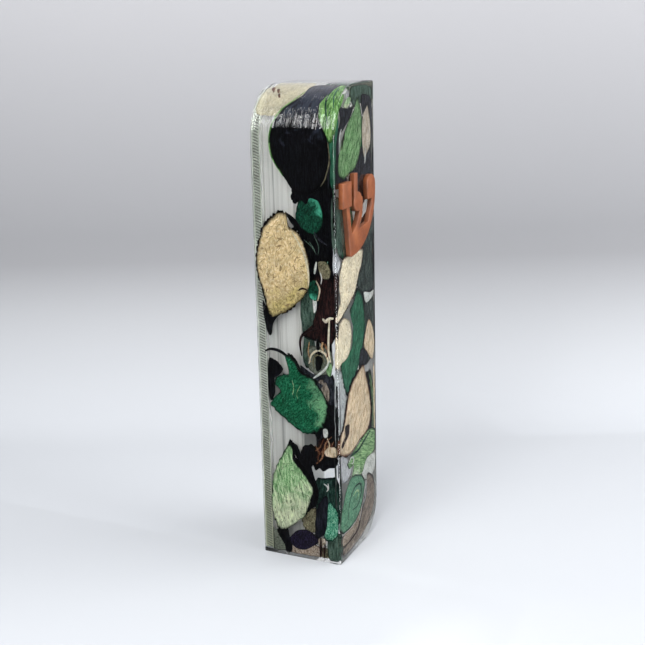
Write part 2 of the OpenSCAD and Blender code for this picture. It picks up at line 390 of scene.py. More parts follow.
def leaf_material(name, dark, mid, light, rim, rim_width=0.05, streak=1.0, pits=0.0, fade=None,
                  fade_at=0.5, gloss=0.5, wrinkles=0.0, grain_scale=34, smooth=False):
    """A dried leaf. Its UV map gives the place in centimetres across (u) and along (v) the leaf
    from its middle, edge runs from 0 in the middle to 1 at the rim, and end from 0 to 1 along it."""
    dark, mid, light, rim = (srgb(*c) for c in (dark, mid, light, rim))
    n = Nodes(name)
    shader = n.principled(Base_Color=(*mid, 1), Roughness=gloss, Specular_IOR_Level=0.06)
    uv = n.add("ShaderNodeUVMap", uv_map="leaf").outputs[0]
    stretch = n.add("ShaderNodeMapping", Scale=(1.0, 0.16 if streak >= 1 else 0.5, 1.0))
    n.link(uv, stretch.inputs[0])
    fibre_uv = stretch.outputs[0]
    fibres = n.noise(fibre_uv, 24, 6.0, 0.7, 0.6)
    detail, roughness = (2.5, 0.5) if smooth else (5.0, 0.72)
    grain = n.noise(uv, grain_scale, detail, roughness, 0.3)
    patches = n.noise(uv, 3.2, 3.0, 0.6, 0.5)
    fibre_share = 0.3 * min(streak, 1)
    mixed = n.plus(n.times(fibres, 0.35 + fibre_share), n.times(grain, 0.65 - fibre_share))
    low, high = (0.36, 0.64) if smooth else (0.41, 0.58)
    colour = n.ramp(mixed, [(low, dark), (0.49, mid), (high, light)])
    if fade:
        colour = faded(n, colour, mixed, patches, fade, fade_at)
    shade = n.ramp(patches, [(0.3, (0.62,) * 3), (0.5, (0.98,) * 3), (0.72, (1.16,) * 3)])
    colour = n.mix(0.85, colour, shade, "MULTIPLY")
    if pits:
        colour = pitted(n, colour, uv, rim, pits)
    if wrinkles:
        # the crease lines: partly the leaf's own dark cracks, partly painted shade, and sunk in the bump as
        # well
        faint = wrinkle_lines(n, uv, fibre_uv, wrinkles)
        colour = n.mix(faint, colour, tuple(0.55 * c for c in dark))
        mixed = n.math("SUBTRACT", mixed, n.times(faint, 0.25))
    n.link(n.mix(rim_mask(n, patches, fibres, rim_width), colour, rim), shader.inputs["Base Color"])
    n.bump(mixed, shader, 1.0, 0.0002 if smooth else 0.0005)
    return n.material


resin = resin_material()
frosted = frosted_material()
plate_plastic = plate_material()
copper = emblem_material()
parchment = parchment_material()

LEAF_LOOKS = {
    "black": leaf_material("black_leaf", (1, 1, 2), (4, 4, 8), (20, 21, 27), (3, 3, 5), gloss=0.42),
    # painted highlight: the black petal's fade lays grey-blue highlight streaks on its upper end, where it
    # turns over the rounded top
    "black_streaked": leaf_material("black_petal_painted_glints", (1, 1, 2), (4, 4, 8), (20, 21, 27), (3, 3, 5),
        fade=(58, 63, 78), fade_at=0.62, gloss=0.42),
    "cream": leaf_material("cream_leaf", (184, 158, 116), (214, 192, 148), (242, 227, 194), (30, 16, 12),
        0.025, 0.3, 0.75, (188, 172, 118), 0.8, wrinkles=2.4, grain_scale=14, smooth=True),
    "beige_top": leaf_material("beige_top_petal", (176, 164, 132), (208, 200, 174), (226, 220, 200),
        (190, 180, 150), 0.02, 0.6, 0.4),
    "emerald": leaf_material("emerald_leaf", (2, 42, 28), (10, 88, 60), (60, 152, 110), (8, 18, 14), 0.03,
        0.4, 0.0, (116, 170, 128), 0.8, wrinkles=1.2),
    "dark_emerald": leaf_material("dark_emerald_leaf", (3, 28, 20), (10, 56, 42), (34, 96, 74), (4, 14, 10),
        0.05, 0.8, 0.0, (74, 170, 138), 0.8),
    "bright_green": leaf_material("bright_green_leaf", (26, 62, 26), (96, 156, 74), (176, 220, 142),
        (20, 52, 22), 0.05, wrinkles=0.9),
    "light_green": leaf_material("light_green_leaf", (66, 112, 66), (148, 194, 138), (222, 238, 200),
        (14, 30, 16), 0.02, 1.0, 0.45, (214, 222, 190), 0.62, wrinkles=1.3),
    "sage": leaf_material("sage_leaf", (26, 54, 30), (102, 144, 94), (160, 196, 146), (26, 46, 30), 0.04),
    "narrow_beige": leaf_material("narrow_beige_petal", (150, 136, 120), (192, 180, 162), (226, 218, 206),
        (60, 50, 44), 0.05),
    "pale_cream": leaf_material("pale_cream_leaf", (190, 174, 144), (224, 213, 188), (246, 240, 224),
        (70, 42, 34), 0.03, 0.5, 0.5, wrinkles=1.2, grain_scale=18, smooth=True),
    "teal": leaf_material("teal_leaf", (14, 50, 38), (36, 96, 72), (76, 138, 108), (8, 24, 20), 0.06),
    "tan": leaf_material("tan_leaf", (154, 126, 96), (214, 194, 164), (244, 230, 206), (92, 52, 36), 0.035),
    "pale_green": leaf_material("pale_green_leaf", (48, 88, 54), (122, 166, 112), (182, 214, 160),
        (16, 36, 22), 0.05, 1.0, 0.0, (206, 216, 196), 0.85),
    "soft_teal": leaf_material("soft_teal_leaf", (40, 88, 64), (88, 142, 112), (146, 194, 164),
        (34, 40, 36), 0.05, 0.5),
    "grey_brown": leaf_material("grey_brown_petal", (66, 56, 48), (130, 118, 108), (186, 172, 158),
        (30, 24, 22), 0.05),
    "copper": leaf_material("copper_petal", (36, 16, 10), (104, 60, 40), (190, 144, 108), (20, 8, 6), 0.06),
    "slate": leaf_material("slate_petal", (12, 18, 18), (36, 46, 44), (92, 106, 100), (14, 16, 18), 0.05),
    "navy": leaf_material("navy_petal", (8, 10, 16), (20, 22, 32), (44, 46, 58), (10, 10, 16), 0.05),
    "dark_teal": leaf_material("dark_teal_leaf", (8, 24, 22), (24, 54, 48), (66, 100, 90), (6, 12, 12), 0.05),
    "charcoal": leaf_material("charcoal_petal", (10, 11, 15), (26, 28, 35), (66, 68, 78), (4, 4, 6), 0.06),
    "maroon": leaf_material("maroon_bark", (6, 2, 4), (20, 9, 11), (64, 36, 34), (3, 2, 3), 0.05),
    "white_chip": leaf_material("white_chip", (170, 172, 168), (218, 220, 216), (244, 246, 244),
        (120, 120, 116), 0.06, 0.5),
    "olive": leaf_material("olive_crumb", (52, 50, 38), (112, 106, 84), (168, 160, 128), (24, 22, 18), 0.06,
        0.3, 0.6),
    "pale_grey": leaf_material("pale_grey_petal", (150, 154, 156), (186, 190, 192), (214, 218, 218),
        (140, 144, 146), 0.06, 0.8),
    "murk": leaf_material("murky_leaf", (62, 66, 58), (108, 114, 102), (142, 148, 134), (58, 60, 52), 0.04,
        0.6),
    "mottled": leaf_material("mottled_petal", (86, 68, 58), (168, 150, 132), (226, 212, 196), (58, 32, 26),
        0.06, 0.4, 0.8),
    "lilac_grey": leaf_material("lilac_petal", (140, 142, 148), (180, 182, 187), (214, 215, 218),
        (90, 90, 98), 0.06, 0.8),
    "deep_green": leaf_material("deep_green_leaf", (30, 42, 38), (62, 84, 74), (104, 128, 114),
        (26, 38, 34), 0.05, 1.2),
    "amber": leaf_material("amber_petal", (96, 60, 34), (176, 132, 86), (232, 202, 156), (50, 20, 10), 0.05),
    "crumb_teal": leaf_material("teal_crumb", (14, 66, 50), (56, 146, 114), (168, 222, 196), (10, 40, 34),
        0.08, 0.3, 0.5),
    "seed_pod": leaf_material("seed_pod", (4, 3, 9), (18, 15, 30), (58, 50, 80), (4, 3, 6), 0.05, 0.6,
        gloss=0.3),
}

SLOT_LOOKS = {  # the looks that go with each material slot, unless a piece names another
    "black_petal": "black_streaked black charcoal navy slate",
    "light_green_leaf": "bright_green sage light_green pale_green",
    "tan_leaf": "olive tan mottled narrow_beige",
    "cream_leaf": "beige_top cream white_chip pale_cream lilac_grey pale_grey",
    "emerald_leaf": "dark_emerald teal emerald",
    "brown_petal": "maroon murk amber copper grey_brown",
    "teal_leaf": "deep_green crumb_teal dark_teal soft_teal",
    "seed_pod": "seed_pod",
}
LOOK_SLOTS = {look: slot for slot, looks in SLOT_LOOKS.items() for look in looks.split()}


# ---- leaves ----

def left_wall(u, v, depth):
    """A place in the left wall: u is Y, v runs up the wall and on over the rounded corner."""
    u = min(max(u, FRONT_Y + SKIN), BACK_Y - SKIN)
    v = max(v, SKIN)
    if v <= TURN_Z:
        return Vector((LEFT_X + depth, u, v))
    angle = (v - TURN_Z) / TOP_ROUND
    if angle < math.pi / 2:
        r = TOP_ROUND - depth
        return Vector((TURN_X - r * math.cos(angle), u, TURN_Z + r * math.sin(angle)))
    return Vector((TURN_X + v - TURN_Z - TOP_ROUND * math.pi / 2, u, CASE_H - depth))


def inside_outline(x, z):
    """The nearest place to (x, z) that keeps a skin of resin all round the case's outline."""
    x = min(max(x, LEFT_X + SKIN), RIGHT_X - SKIN)
    z = min(max(z, SKIN), CASE_H - SKIN)
    corners = ((TURN_X, TURN_Z, -1, TOP_ROUND), (RIGHT_X - FOOT_ROUND, FOOT_ROUND, 1, FOOT_ROUND))
    for cx, cz, side, radius in corners:
        dx, dz = x - cx, z - cz
        reach = math.hypot(dx, dz)
        if dx * side > 0 and dz * side < 0 and reach > radius - SKIN:
            x, z = cx + dx * (radius - SKIN) / reach, cz + dz * (radius - SKIN) / reach
    return x, z


def front_wall(u, v, depth):
    """A place behind the front face: u is X, v is Z."""
    x, z = inside_outline(u, v)
    return Vector((x, FRONT_Y + depth, z))


def right_wall(u, v, depth):
    """A place in the right wall: u is Y, v is Z."""
    return Vector((RIGHT_X - depth, u, v))


def leaf_side(bm, centre_vert, rows, facing):
    """One side of a leaf: a fan of faces in its middle and bands of them out to its rim."""
    count = len(rows[0])
    for i in range(count):
        j = (i + 1) % count
        faces = [[centre_vert, rows[0][i], rows[0][j]]]
        faces += [[a[i], b[i], b[j], a[j]] for a, b in zip(rows, rows[1:])]
        for face in faces:
            bm.faces.new(face if facing else face[::-1])


def leaf(name, look, wall, depth, outline, slot=None, node=None, curl=0.0, lean=0.0, seed=1, thick=0.16,
         rings=20, crinkle=0.16, centre=None, axis=0.0, ragged=0.025, backing=None, fade_turn=0.0):
    """A closed thin leaf inside a smooth outline of (u, v) points, lying at a depth in a wall.
    A name that ends in _piece stands for the CAD node of the same name without it.
    curl sinks its rim, and lean sinks it by so much for each millimetre along u. axis is the
    angle of its fibres and fade_turn the direction of its change of colour, in degrees.
    backing is (du, dv, scale): a black leaf of that shift and size lies behind it, a painted shadow that
    shows as a dark rim along one side."""
    border = closed_curve(outline, CURVE_STEPS)
    middle = np.array(centre, float) if centre else np.mean(border, axis=0)
    cos_a, sin_a = math.cos(math.radians(axis)), math.sin(math.radians(axis))
    cos_f, sin_f = math.cos(math.radians(fade_turn)), math.sin(math.radians(fade_turn))

    def fade_place(p):
        return -(p[0] - middle[0]) * sin_f + (p[1] - middle[1]) * cos_f

    low_end, high_end = min(map(fade_place, border)), max(map(fade_place, border))
    bm = bmesh.new()
    uv_layer = bm.loops.layers.uv.new("leaf")
    edge_layer = bm.verts.layers.float.new("edge")
    end_layer = bm.verts.layers.float.new("end")
    where = {}

    def local(p):
        """The place in centimetres across and along the fibres."""
        du, dv = p[0] - middle[0], p[1] - middle[1]
        return (du * cos_a + dv * sin_a) / 10, (-du * sin_a + dv * cos_a) / 10

    def sunk(p, s, side):
        """The place of a point of one side, s of the way out: folds, fine wrinkles and a raised rib."""
        wave = noise_at(p[0], p[1], 0, FOLD_SIZE, seed) + 0.6 * noise_at(p[0], p[1], 5, CREASE_SIZE, seed)
        across, _ = local(p)
        fine = 0.05 * noise_at(p[0], p[1], 9, 0.42, seed) + 0.03 * noise_at(p[0], p[1], 4, 0.2, seed)
        rib = MIDRIB_H * math.exp(-((across * 10) / MIDRIB_W) ** 2) * (1 - s) + fine
        sink = curl * s**2 + lean * (p[0] - middle[0]) + crinkle * (wave + 0.8)
        half = thick / 2 * (1 - 0.75 * s**4)
        return wall(p[0], p[1], max(LEAST_DEPTH, depth + sink - rib) + (half if side else -half))

    def add(p, s, side):
        vert = bm.verts.new(sunk(p, s, side))
        vert[edge_layer] = s
        vert[end_layer] = 1 - (fade_place(p) - low_end) / (high_end - low_end)
        where[vert] = p
        return vert

    def ring(s, side):
        row = []
        for b in border:
            torn = ragged * (noise_at(b[0], b[1], 2, 0.8, seed) + 0.6 * noise_at(b[0], b[1], 2, 0.35, seed))
            row.append(add(middle + (b - middle) * s * (1 + torn * s**3), s, side))
        return row

    shares = [((k + 1) / rings) ** 0.8 for k in range(rings)]
    sides = [(add(middle, 0, side), [ring(s, side) for s in shares]) for side in (0, 1)]
    for facing, (centre_vert, rows) in enumerate(sides):
        leaf_side(bm, centre_vert, rows, facing)
    near, far = sides[0][1][-1], sides[1][1][-1]
    for i in range(len(border)):
        j = (i + 1) % len(border)
        bm.faces.new([near[i], far[i], far[j], near[j]])
    for face in bm.faces:
        for loop in face.loops:
            loop[uv_layer].uv = local(where[loop.vert])
    if name.endswith("_piece"):
        node = node or name.removesuffix("_piece")
    obj = new_object(name, bm, [LEAF_LOOKS[look]])
    place(obj, "root", slot or LOOK_SLOTS[look], *([node] if node else []))
    # painted shadow: a black copy of the leaf, shifted and a little larger, lies just behind it
    if backing:
        du, dv, scale = backing
        shifted = [tuple(middle + (np.array(p) - middle) * scale + (du, dv)) for p in outline]
        leaf(name + "_painted_shadow", "black", wall, depth + 0.35, shifted, curl=curl, lean=lean,
             seed=seed + 50, crinkle=crinkle, centre=tuple(middle + (du, dv)), ragged=0.06)


def strand(name, look, wall, radius, depth, points, slot=None):
    """A thin stalk or curled shred through a few (u, v) points, thickest in its middle."""
    line = open_curve(points, CURVE_STEPS)
    bm = bmesh.new()
    uv_layer = bm.loops.layers.uv.new("leaf")
    bm.verts.layers.float.new("edge")  # left at 0, which the leaf's look reads as far from a rim
    last = len(line) - 1
    rings, where = [], {}
    for i, p in enumerate(line):
        ahead = line[min(i + 1, last)] - line[max(i - 1, 0)]
        normal = np.array((-ahead[1], ahead[0])) / (np.linalg.norm(ahead) or 1)
        r = radius * (0.25 + 0.75 * math.sin(math.pi * (0.08 + 0.84 * i / last)))
        row = []
        for k in range(STRAND_SIDES):
            angle = 2 * math.pi * k / STRAND_SIDES
            q = p + normal * r * math.cos(angle)
            vert = bm.verts.new(wall(q[0], q[1], depth + 0.6 * r * math.sin(angle)))
            where[vert] = q / 10
            row.append(vert)
        rings.append(row)
    for a, b in zip(rings, rings[1:]):
        bridge(bm, a, b)
    bm.faces.new(rings[0])
    bm.faces.new(rings[-1])
    for face in bm.faces:
        for loop in face.loops:
            loop[uv_layer].uv = where[loop.vert]
    obj = new_object(name, bm, [LEAF_LOOKS[look]])
    place(obj, "root", slot or LOOK_SLOTS[look])


def left_leaf(name, look, depth, outline, **options):
    leaf(name, look, left_wall, depth, outline, **options)


def front_leaf(name, look, depth, outline, **options):
    leaf(name, look, front_wall, depth, outline, **options)


def right_leaf(name, look, depth, outline, **options):
    leaf(name, look, right_wall, depth, outline, **options)


# leaves and petals in the left wall, from the top down
left_leaf("black_petal", "black_streaked", 0.3,
    [(-8.6, 124.8), (-3, 124.6), (-1.2, 123), (-0.6, 119.4), (2.8, 115.8), (4, 113.5), (5.3, 111),
    (5.8, 107.5), (5.2, 103.2), (2, 98.5), (-1, 95), (-5, 95.2), (-8.2, 98.6), (-9.4, 102.2), (-9.3, 107.5),
    (-7.2, 111.6), (-6.4, 114), (-6, 118), (-6.8, 121.6)], fade_turn=180, node="black_petal_top", seed=1,
    crinkle=0.04, ragged=0.01, centre=(-2.5, 107))
strand("black_petal_rim", "bright_green", left_wall, 0.2, 0.3,
    [(-0.9, 121), (0.9, 118), (3.4, 115.2), (5.2, 111.6), (5.9, 107.5), (5.3, 103.4), (2.4, 99)])
strand("black_petal_rim_front", "olive", left_wall, 0.16, 0.3,
    [(-9.4, 107.2), (-9.7, 103), (-8.6, 99), (-7.4, 97)])
left_leaf("black_petal_stalk", "black", 0.75,
    [(-0.6, 97.4), (-3.2, 98), (-6.4, 96.5), (-7, 93.5), (-4.4, 94), (-3.4, 92.6), (-1.8, 93.4),
    (-0.2, 92.4), (0.6, 94.6)], seed=51, ragged=0.1)
left_leaf("cream_petal", "beige_top", 0.9,
    [(10.3, 114.4), (10.5, 119), (10.2, 124), (9.4, 128), (4, 129), (-1, 127), (-1.4, 122.6), (-0.4, 119),
    (0.8, 117), (2.8, 115.6), (4.4, 113.6), (7.6, 113.6)], node="cream_petal_top", seed=2, crinkle=0.06)
for number, (across, along, size) in enumerate(((8.2, 122, 1.0), (6.6, 121.4, 0.8), (5.6, 119.4, 0.6))):
    left_leaf(f"cream_petal_mark_{number}", "copper", 0.5,
        [(across - 0.7 * size, along - 1.2 * size), (across + 0.2 * size, along - 0.3 * size),
        (across + 0.7 * size, along + 1.2 * size), (across - 0.3 * size, along + 0.8 * size)],
        seed=52 + number, thick=0.08, ragged=0.2, rings=5)
left_leaf("bright_green_leaf", "bright_green", 0.55,
    [(-6.4, 122.6), (-8.4, 125), (-10.2, 124), (-10.6, 116), (-10.6, 108.5), (-9.6, 107.2), (-8.4, 109.4),
    (-7, 111.6), (-6, 113.8), (-5.7, 117), (-5.6, 120)], node="bright_green_leaf_top", seed=3,
    centre=(-8.4, 116))
strand("bright_green_leaf_fold", "dark_emerald", left_wall, 0.22, 0.4,
    [(-7.8, 122), (-7.2, 118.4), (-8, 115), (-9.2, 111)])
strand("bright_green_leaf_fold_2", "teal", left_wall, 0.18, 0.4,
    [(-8.8, 123), (-8.8, 119.6), (-9.8, 115.6)])
left_leaf("bright_green_leaf_tail", "teal", 0.7,
    [(-9.4, 107.4), (-10.5, 108), (-10.7, 101), (-10.4, 96.4), (-9.6, 98), (-9.9, 103)], seed=56)
left_leaf("small_green_leaf_piece", "dark_emerald", 0.9,
    [(-2, 95), (-5, 95.5), (-7.5, 91), (-7, 87), (-5, 85.3), (-2, 86.4), (-0.3, 89)], seed=4, fade_turn=-130)
left_leaf("large_cream_leaf_piece", "cream", 0.3,
    [(5, 89.7), (2, 90), (1.4, 87.2), (-1.5, 85), (-3.5, 80), (-4, 75), (-3, 71), (0.5, 67.3), (4, 65),
    (7.2, 64.4), (8.4, 69), (10.2, 75), (10.2, 80), (8.4, 86)], seed=5, axis=12, backing=(0.2, 0.1, 1.025),
    fade_turn=-30, crinkle=0.05)
left_leaf("large_cream_leaf_fold", "black", 0.5,
    [(2, 90.2), (1.2, 88.4), (-0.8, 86), (-2.8, 83), (-2, 86.5), (-0.2, 89)], seed=55)
strand("large_cream_leaf_tear", "maroon", left_wall, 0.26, 0.2, [(-3.4, 71.6), (-2, 72), (-0.8, 71.4)])
strand("large_cream_leaf_edge", "beige_top", left_wall, 0.3, 0.28,
    [(0.4, 85.6), (-2.4, 81), (-3.6, 76), (-3.5, 72.6)])
left_leaf("large_cream_leaf_stalk", "black", 0.75,
    [(9.2, 68), (7.2, 64.6), (5.2, 64.6), (6.5, 62.4), (7.1, 59.6), (7.9, 59.4), (8.9, 62.6)], seed=6)
for number, line in enumerate((((-2.6, 84), (-4.6, 82.4), (-5.8, 80.6)), ((-4, 83.6), (-5.4, 81.6)),
                               ((-5.2, 85.4), (-6.4, 82.6), (-6.2, 80.4)))):
    strand(f"pale_hair_{number}", "deep_green", left_wall, 0.11, 0.5, list(line))
left_leaf("pale_bit_mid", "olive", 0.5,
    [(-6.2, 78.8), (-8, 79), (-9.3, 77.4), (-9, 74.8), (-6.8, 75)], seed=71, ragged=0.08)
strand("white_slit_mid", "white_chip", left_wall, 0.3, 0.4, [(-5.8, 78.8), (-5.5, 77.4), (-5.2, 75.8)])
left_leaf("bark_strip_piece", "maroon", 0.6,
    [(-4.4, 74.6), (-6.2, 75.8), (-9, 75.4), (-10.3, 72), (-10.3, 62), (-9.4, 58.6), (-7.2, 58.2),
    (-4.8, 59), (-1.3, 60.2), (-3.8, 62), (-4.9, 65.2), (-6.2, 69), (-5.2, 71)], slot="black_petal", seed=7,
    centre=(-7.6, 66), ragged=0.03)
strand("bark_strip_hook", "maroon", left_wall, 0.36, 0.5,
    [(-5.5, 62.3), (-3.3, 61.6), (-1.4, 60), (-0.8, 57.8), (-1.2, 54.8)])
strand("bark_strip_stalk", "black", left_wall, 0.5, 0.6, [(-5.6, 59.6), (-5.6, 57.6), (-5.9, 55.2)])
left_leaf("small_teal_leaf_mid", "dark_emerald", 0.45,
    [(-3.6, 73.2), (-5.3, 74.3), (-6.2, 71.9), (-5.4, 69.2), (-3.7, 69.8)], seed=74)
strand("small_teal_leaf_edge", "tan", left_wall, 0.2, 0.35, [(-5.6, 74.2), (-6.5, 72), (-5.9, 69.2)])
left_leaf("white_bit_mid", "white_chip", 0.45,
    [(-4.5, 69.4), (-5.5, 69.4), (-5.5, 67.2), (-4.7, 66)], seed=75, rings=6)
left_leaf("see_through_leaf", "deep_green", 2.2,
    [(-1.5, 69.4), (-4.7, 71), (-5, 66.6), (-4, 61.6), (-4.4, 56), (-2.4, 51.4), (-1, 54), (-1.5, 61)],
    seed=76, axis=4)
strand("cream_rootlet", "pale_cream", left_wall, 0.42, 0.35,
    [(-7.1, 64.9), (-7.9, 64.2), (-8.8, 64.9), (-10, 65.2)])
strand("cream_rootlet_down", "pale_cream", left_wall, 0.3, 0.35,
    [(-8.9, 64.8), (-8.7, 61.7), (-8.5, 57), (-9, 54)])
left_leaf("copper_petal_mid_piece", "murk", 1.2,
    [(-2.6, 56.8), (-5.4, 57.6), (-8.6, 57), (-9.6, 54), (-8.6, 51), (-5.2, 50), (-3, 52)], seed=8,
    curl=-0.3, ragged=0.1)
strand("cream_curl_over", "pale_cream", left_wall, 0.3, 0.5,
    [(-3.1, 53), (-3.9, 55.4), (-5.6, 56.6), (-7.5, 56), (-8.3, 54.2), (-7.8, 52.8)])
strand("cream_curl_inner", "olive", left_wall, 0.2, 0.55,
    [(-4.4, 52), (-4.2, 54), (-5.2, 55.4), (-6.6, 55.2), (-7.2, 53.8)], slot="cream_leaf")
# painted shade: a black sheet fills the hollow inside the cream curl
left_leaf("curl_hollow_shade", "black", 0.7,
    [(-5, 56.6), (-6.4, 56.4), (-6.9, 54.6), (-6.2, 52), (-5, 51.4), (-4.8, 53.6)], slot="brown_petal",
    seed=104, ragged=0.12, rings=7)
strand("amber_thread", "amber", left_wall, 0.16, 0.6, [(-3.3, 58.6), (-3, 56), (-3.6, 53.4)])
strand("amber_thread_2", "amber", left_wall, 0.26, 0.4, [(-7, 58.9), (-6.7, 57.6), (-7.2, 56.8)])
strand("amber_curl", "copper", left_wall, 0.36, 0.45,
    [(-6.6, 58.8), (-7.6, 58.2), (-8.4, 56.6), (-7.9, 55)])
strand("white_curl", "white_chip", left_wall, 0.34, 0.4,
    [(-4.2, 49.4), (-6, 50.7), (-7.7, 52.4), (-8.7, 54.4)])
left_leaf("green_bit_mid", "sage", 0.4,
    [(-7.9, 53.6), (-9.3, 53.4), (-8.9, 50.3), (-7.8, 51.2)], seed=77, rings=6)
left_leaf("emerald_leaf_piece", "emerald", 0.3,
    [(3.4, 54.6), (1, 53.2), (-0.6, 50.4), (-4, 49), (-7, 45), (-8, 42), (-6.8, 37.5), (-4, 35), (-1, 34.6),
    (3, 37), (7.6, 40.8), (6.9, 43), (5, 45), (6.6, 47), (5.4, 49), (2.6, 50)], seed=9, centre=(-0.6, 43.5),
    axis=35, backing=(-0.7, 0.1, 1.02), fade_turn=-100, ragged=0.05, crinkle=0.08)
for number, line in enumerate((((1.6, 48.2), (1.2, 46.4), (1.6, 44.4)),
                               ((-0.6, 47), (0.4, 45), (0.2, 43.6)))):
    strand(f"emerald_leaf_fold_{number}", "light_green", left_wall, 0.09, 0.2,
        list(line), slot="cream_leaf")
strand("emerald_leaf_stem", "black", left_wall, 0.42, 0.6,
    [(9, 55), (7.4, 55.7), (5, 55.4), (2.6, 54), (-1, 51)])
left_leaf("black_band_mid", "charcoal", 0.7,
    [(-0.6, 52.2), (-2.8, 51), (-5, 50.2), (-7.8, 50.6), (-9.6, 49.6), (-10, 46), (-9.6, 41.4), (-7.4, 44),
    (-4.6, 47.4), (-2.2, 48.6)], seed=78, ragged=0.06, centre=(-7, 48.4))
left_leaf("grey_bit_mid", "grey_brown", 0.5,
    [(-5.4, 48.6), (-7.2, 48.9), (-8.5, 46.3), (-8.1, 43.6), (-6.6, 46)], seed=79, ragged=0.1)
left_leaf("black_petal_curl_piece", "black", 0.75,
    [(8.2, 52.6), (6.4, 53), (4.2, 51), (5.2, 49.2), (7, 47.6), (6.6, 44.5), (7.9, 42), (8.6, 46)], seed=10,
    ragged=0.06)
left_leaf("white_dot_low", "white_chip", 0.4,
    [(-6.6, 36.4), (-7.8, 36.2), (-7.7, 34.4), (-6.7, 34.2)], seed=86, rings=6, ragged=0.1)
left_leaf("copper_petal_low_piece", "maroon", 0.8,
    [(-4, 27), (-4.6, 30.6), (-6, 33.6), (-8.8, 34.6), (-10, 31.8), (-8.8, 28.6), (-6, 26.4)], seed=11,
    ragged=0.1)
SHREDS = (
    (0.2, "copper", [(-8.9, 34.6), (-7.4, 33), (-6.6, 31), (-5, 28.9)]),
    (0.24, "copper", [(-8.4, 32.8), (-6.7, 30.6), (-6, 28.4), (-4.4, 26.7)]),
    (0.16, "copper", [(-6.7, 33.9), (-5.6, 31.4), (-4.3, 30.2)]),
    (0.18, "tan", [(-7.6, 34), (-8.2, 32.2), (-7.4, 30.6)]),
    (0.2, "copper", [(-4.2, 31.6), (-5.2, 30), (-4.9, 27.6)]),
    (0.15, "copper", [(-9.4, 33.4), (-8.8, 32), (-9.4, 30.8)]),
)
for number, (radius, look, line) in enumerate(SHREDS):
    strand(f"copper_shred_{number}", look, left_wall, radius, 0.5, line, slot="brown_petal")
left_leaf("tan_chip_low", "tan", 0.4,
    [(-6.8, 30.3), (-8.3, 31.8), (-10.3, 31.5), (-10, 29.4), (-7.5, 29.1)], seed=72, ragged=0.08)
left_leaf("black_blob_low", "black", 0.6,
    [(-3.6, 27.1), (-5.5, 29), (-7.7, 29.1), (-10.2, 28.9), (-10, 26.7), (-7.7, 25.8), (-6.4, 24.9),
    (-5.2, 25.6), (-4.2, 24.9)], seed=87, ragged=0.08)
left_leaf("light_green_leaf_piece", "light_green", 0.3,
    [(3.5, 30.4), (2.2, 29.8), (2, 27), (-0.5, 24), (-3.4, 20), (-2.5, 16.5), (-1, 12), (1, 10), (5.6, 6.8),
    (7.4, 8.2), (8.5, 12), (8.5, 17), (7.4, 23)], seed=12, axis=-8, backing=(-0.5, 0.9, 1.02), ragged=0.04,
    crinkle=0.08, fade_turn=-25)
left_leaf("light_green_leaf_shadow", "black", 0.85,
    [(3, 31.6), (1, 31), (0.2, 28.4), (-1, 31), (-4.4, 31.2), (-4.4, 27.6), (-3, 26), (-4, 22),
    (-4.9, 18.3), (-3.8, 15), (-2, 12.6), (-1.4, 17), (-1.4, 22), (0.6, 26.4), (2, 29)], seed=13,
    centre=(-1.9, 24), ragged=0.05)
left_leaf("dark_teal_leaf_piece", "crumb_teal", 0.35,
    [(-7.6, 16.8), (-9.2, 16), (-10.2, 14), (-10.2, 8.4), (-8.4, 6.2), (-6.2, 6.6), (-7, 10.6)], seed=14,
    ragged=0.1)
left_leaf("navy_sliver_low", "navy", 0.6,
    [(-7.2, 18.2), (-7.4, 11.8), (-6.2, 7.5), (-3.7, 6.4), (-3.9, 12.3), (-5, 15.9)], seed=88, ragged=0.05)
strand("glint_mid", "white_chip", left_wall, 0.14, 0.6, [(-6.6, 76.4), (-7.0, 74.9), (-6.8, 73.4)])
strand("glint_mid_2", "crumb_teal", left_wall, 0.16, 0.7,
    [(-8.7, 79), (-8.2, 77.2), (-8.9, 75.4)], slot="emerald_leaf")
strand("glint_mid_3", "charcoal", left_wall, 0.22, 0.7, [(-5.2, 86), (-6.6, 84.2), (-8.6, 83)])
strand("glint_low", "white_chip", left_wall, 0.2, 0.4, [(-6.4, 21.6), (-7.4, 21), (-7.6, 20)])
strand("glint_low_2", "white_chip", left_wall, 0.14, 0.4, [(-7.6, 21.9), (-7.7, 20.6), (-7.2, 19.6)])
left_leaf("olive_crumb_low", "olive", 0.9,
    [(-0.4, 11.7), (-3.5, 14.6), (-4.3, 11.3), (-4.3, 7.9), (-1.6, 7.2), (0, 9.1)], seed=89, ragged=0.12)
left_leaf("seed_pod_piece", "seed_pod", 0.8,
    [(3.9, 4.2), (2, 6.9), (-0.8, 7.9), (-3, 7.2), (-4.6, 5.4), (-2.6, 3.4), (-0.3, 2.1), (2.4, 2.4)],
    node="purple_seed_pod", seed=15, thick=0.9, crinkle=0.05)
left_leaf("black_root_base", "black", 0.7,
    [(7.4, 6.6), (4.7, 7.8), (3.6, 4.7), (3.2, 1.4), (4.7, 0.6), (5.4, 2.5), (6.6, 4.5)], seed=73,
    ragged=0.1)
left_leaf("beige_petal_base_piece", "mottled", 1.0,
    [(4.2, 2.6), (1.7, 3), (-0.9, 3.2), (-3.5, 4), (-5, 3), (-4.9, 0.9), (-0.5, 0.6), (3.6, 0.7)], seed=16,
    ragged=0.06)
left_leaf("mottled_chip_base", "mottled", 0.4,
    [(-4.6, 6), (-6.4, 6.4), (-6.5, 4.6), (-4.8, 4)], seed=90, rings=6, ragged=0.12)
strand("brown_upright_base", "maroon", left_wall, 0.32, 0.35, [(-5.3, 6.6), (-5.2, 3.6), (-5.1, 0.9)])
strand("brown_upright_base_2", "maroon", left_wall, 0.26, 0.35, [(-6.5, 5), (-6.2, 2.8), (-6.1, 0.9)])
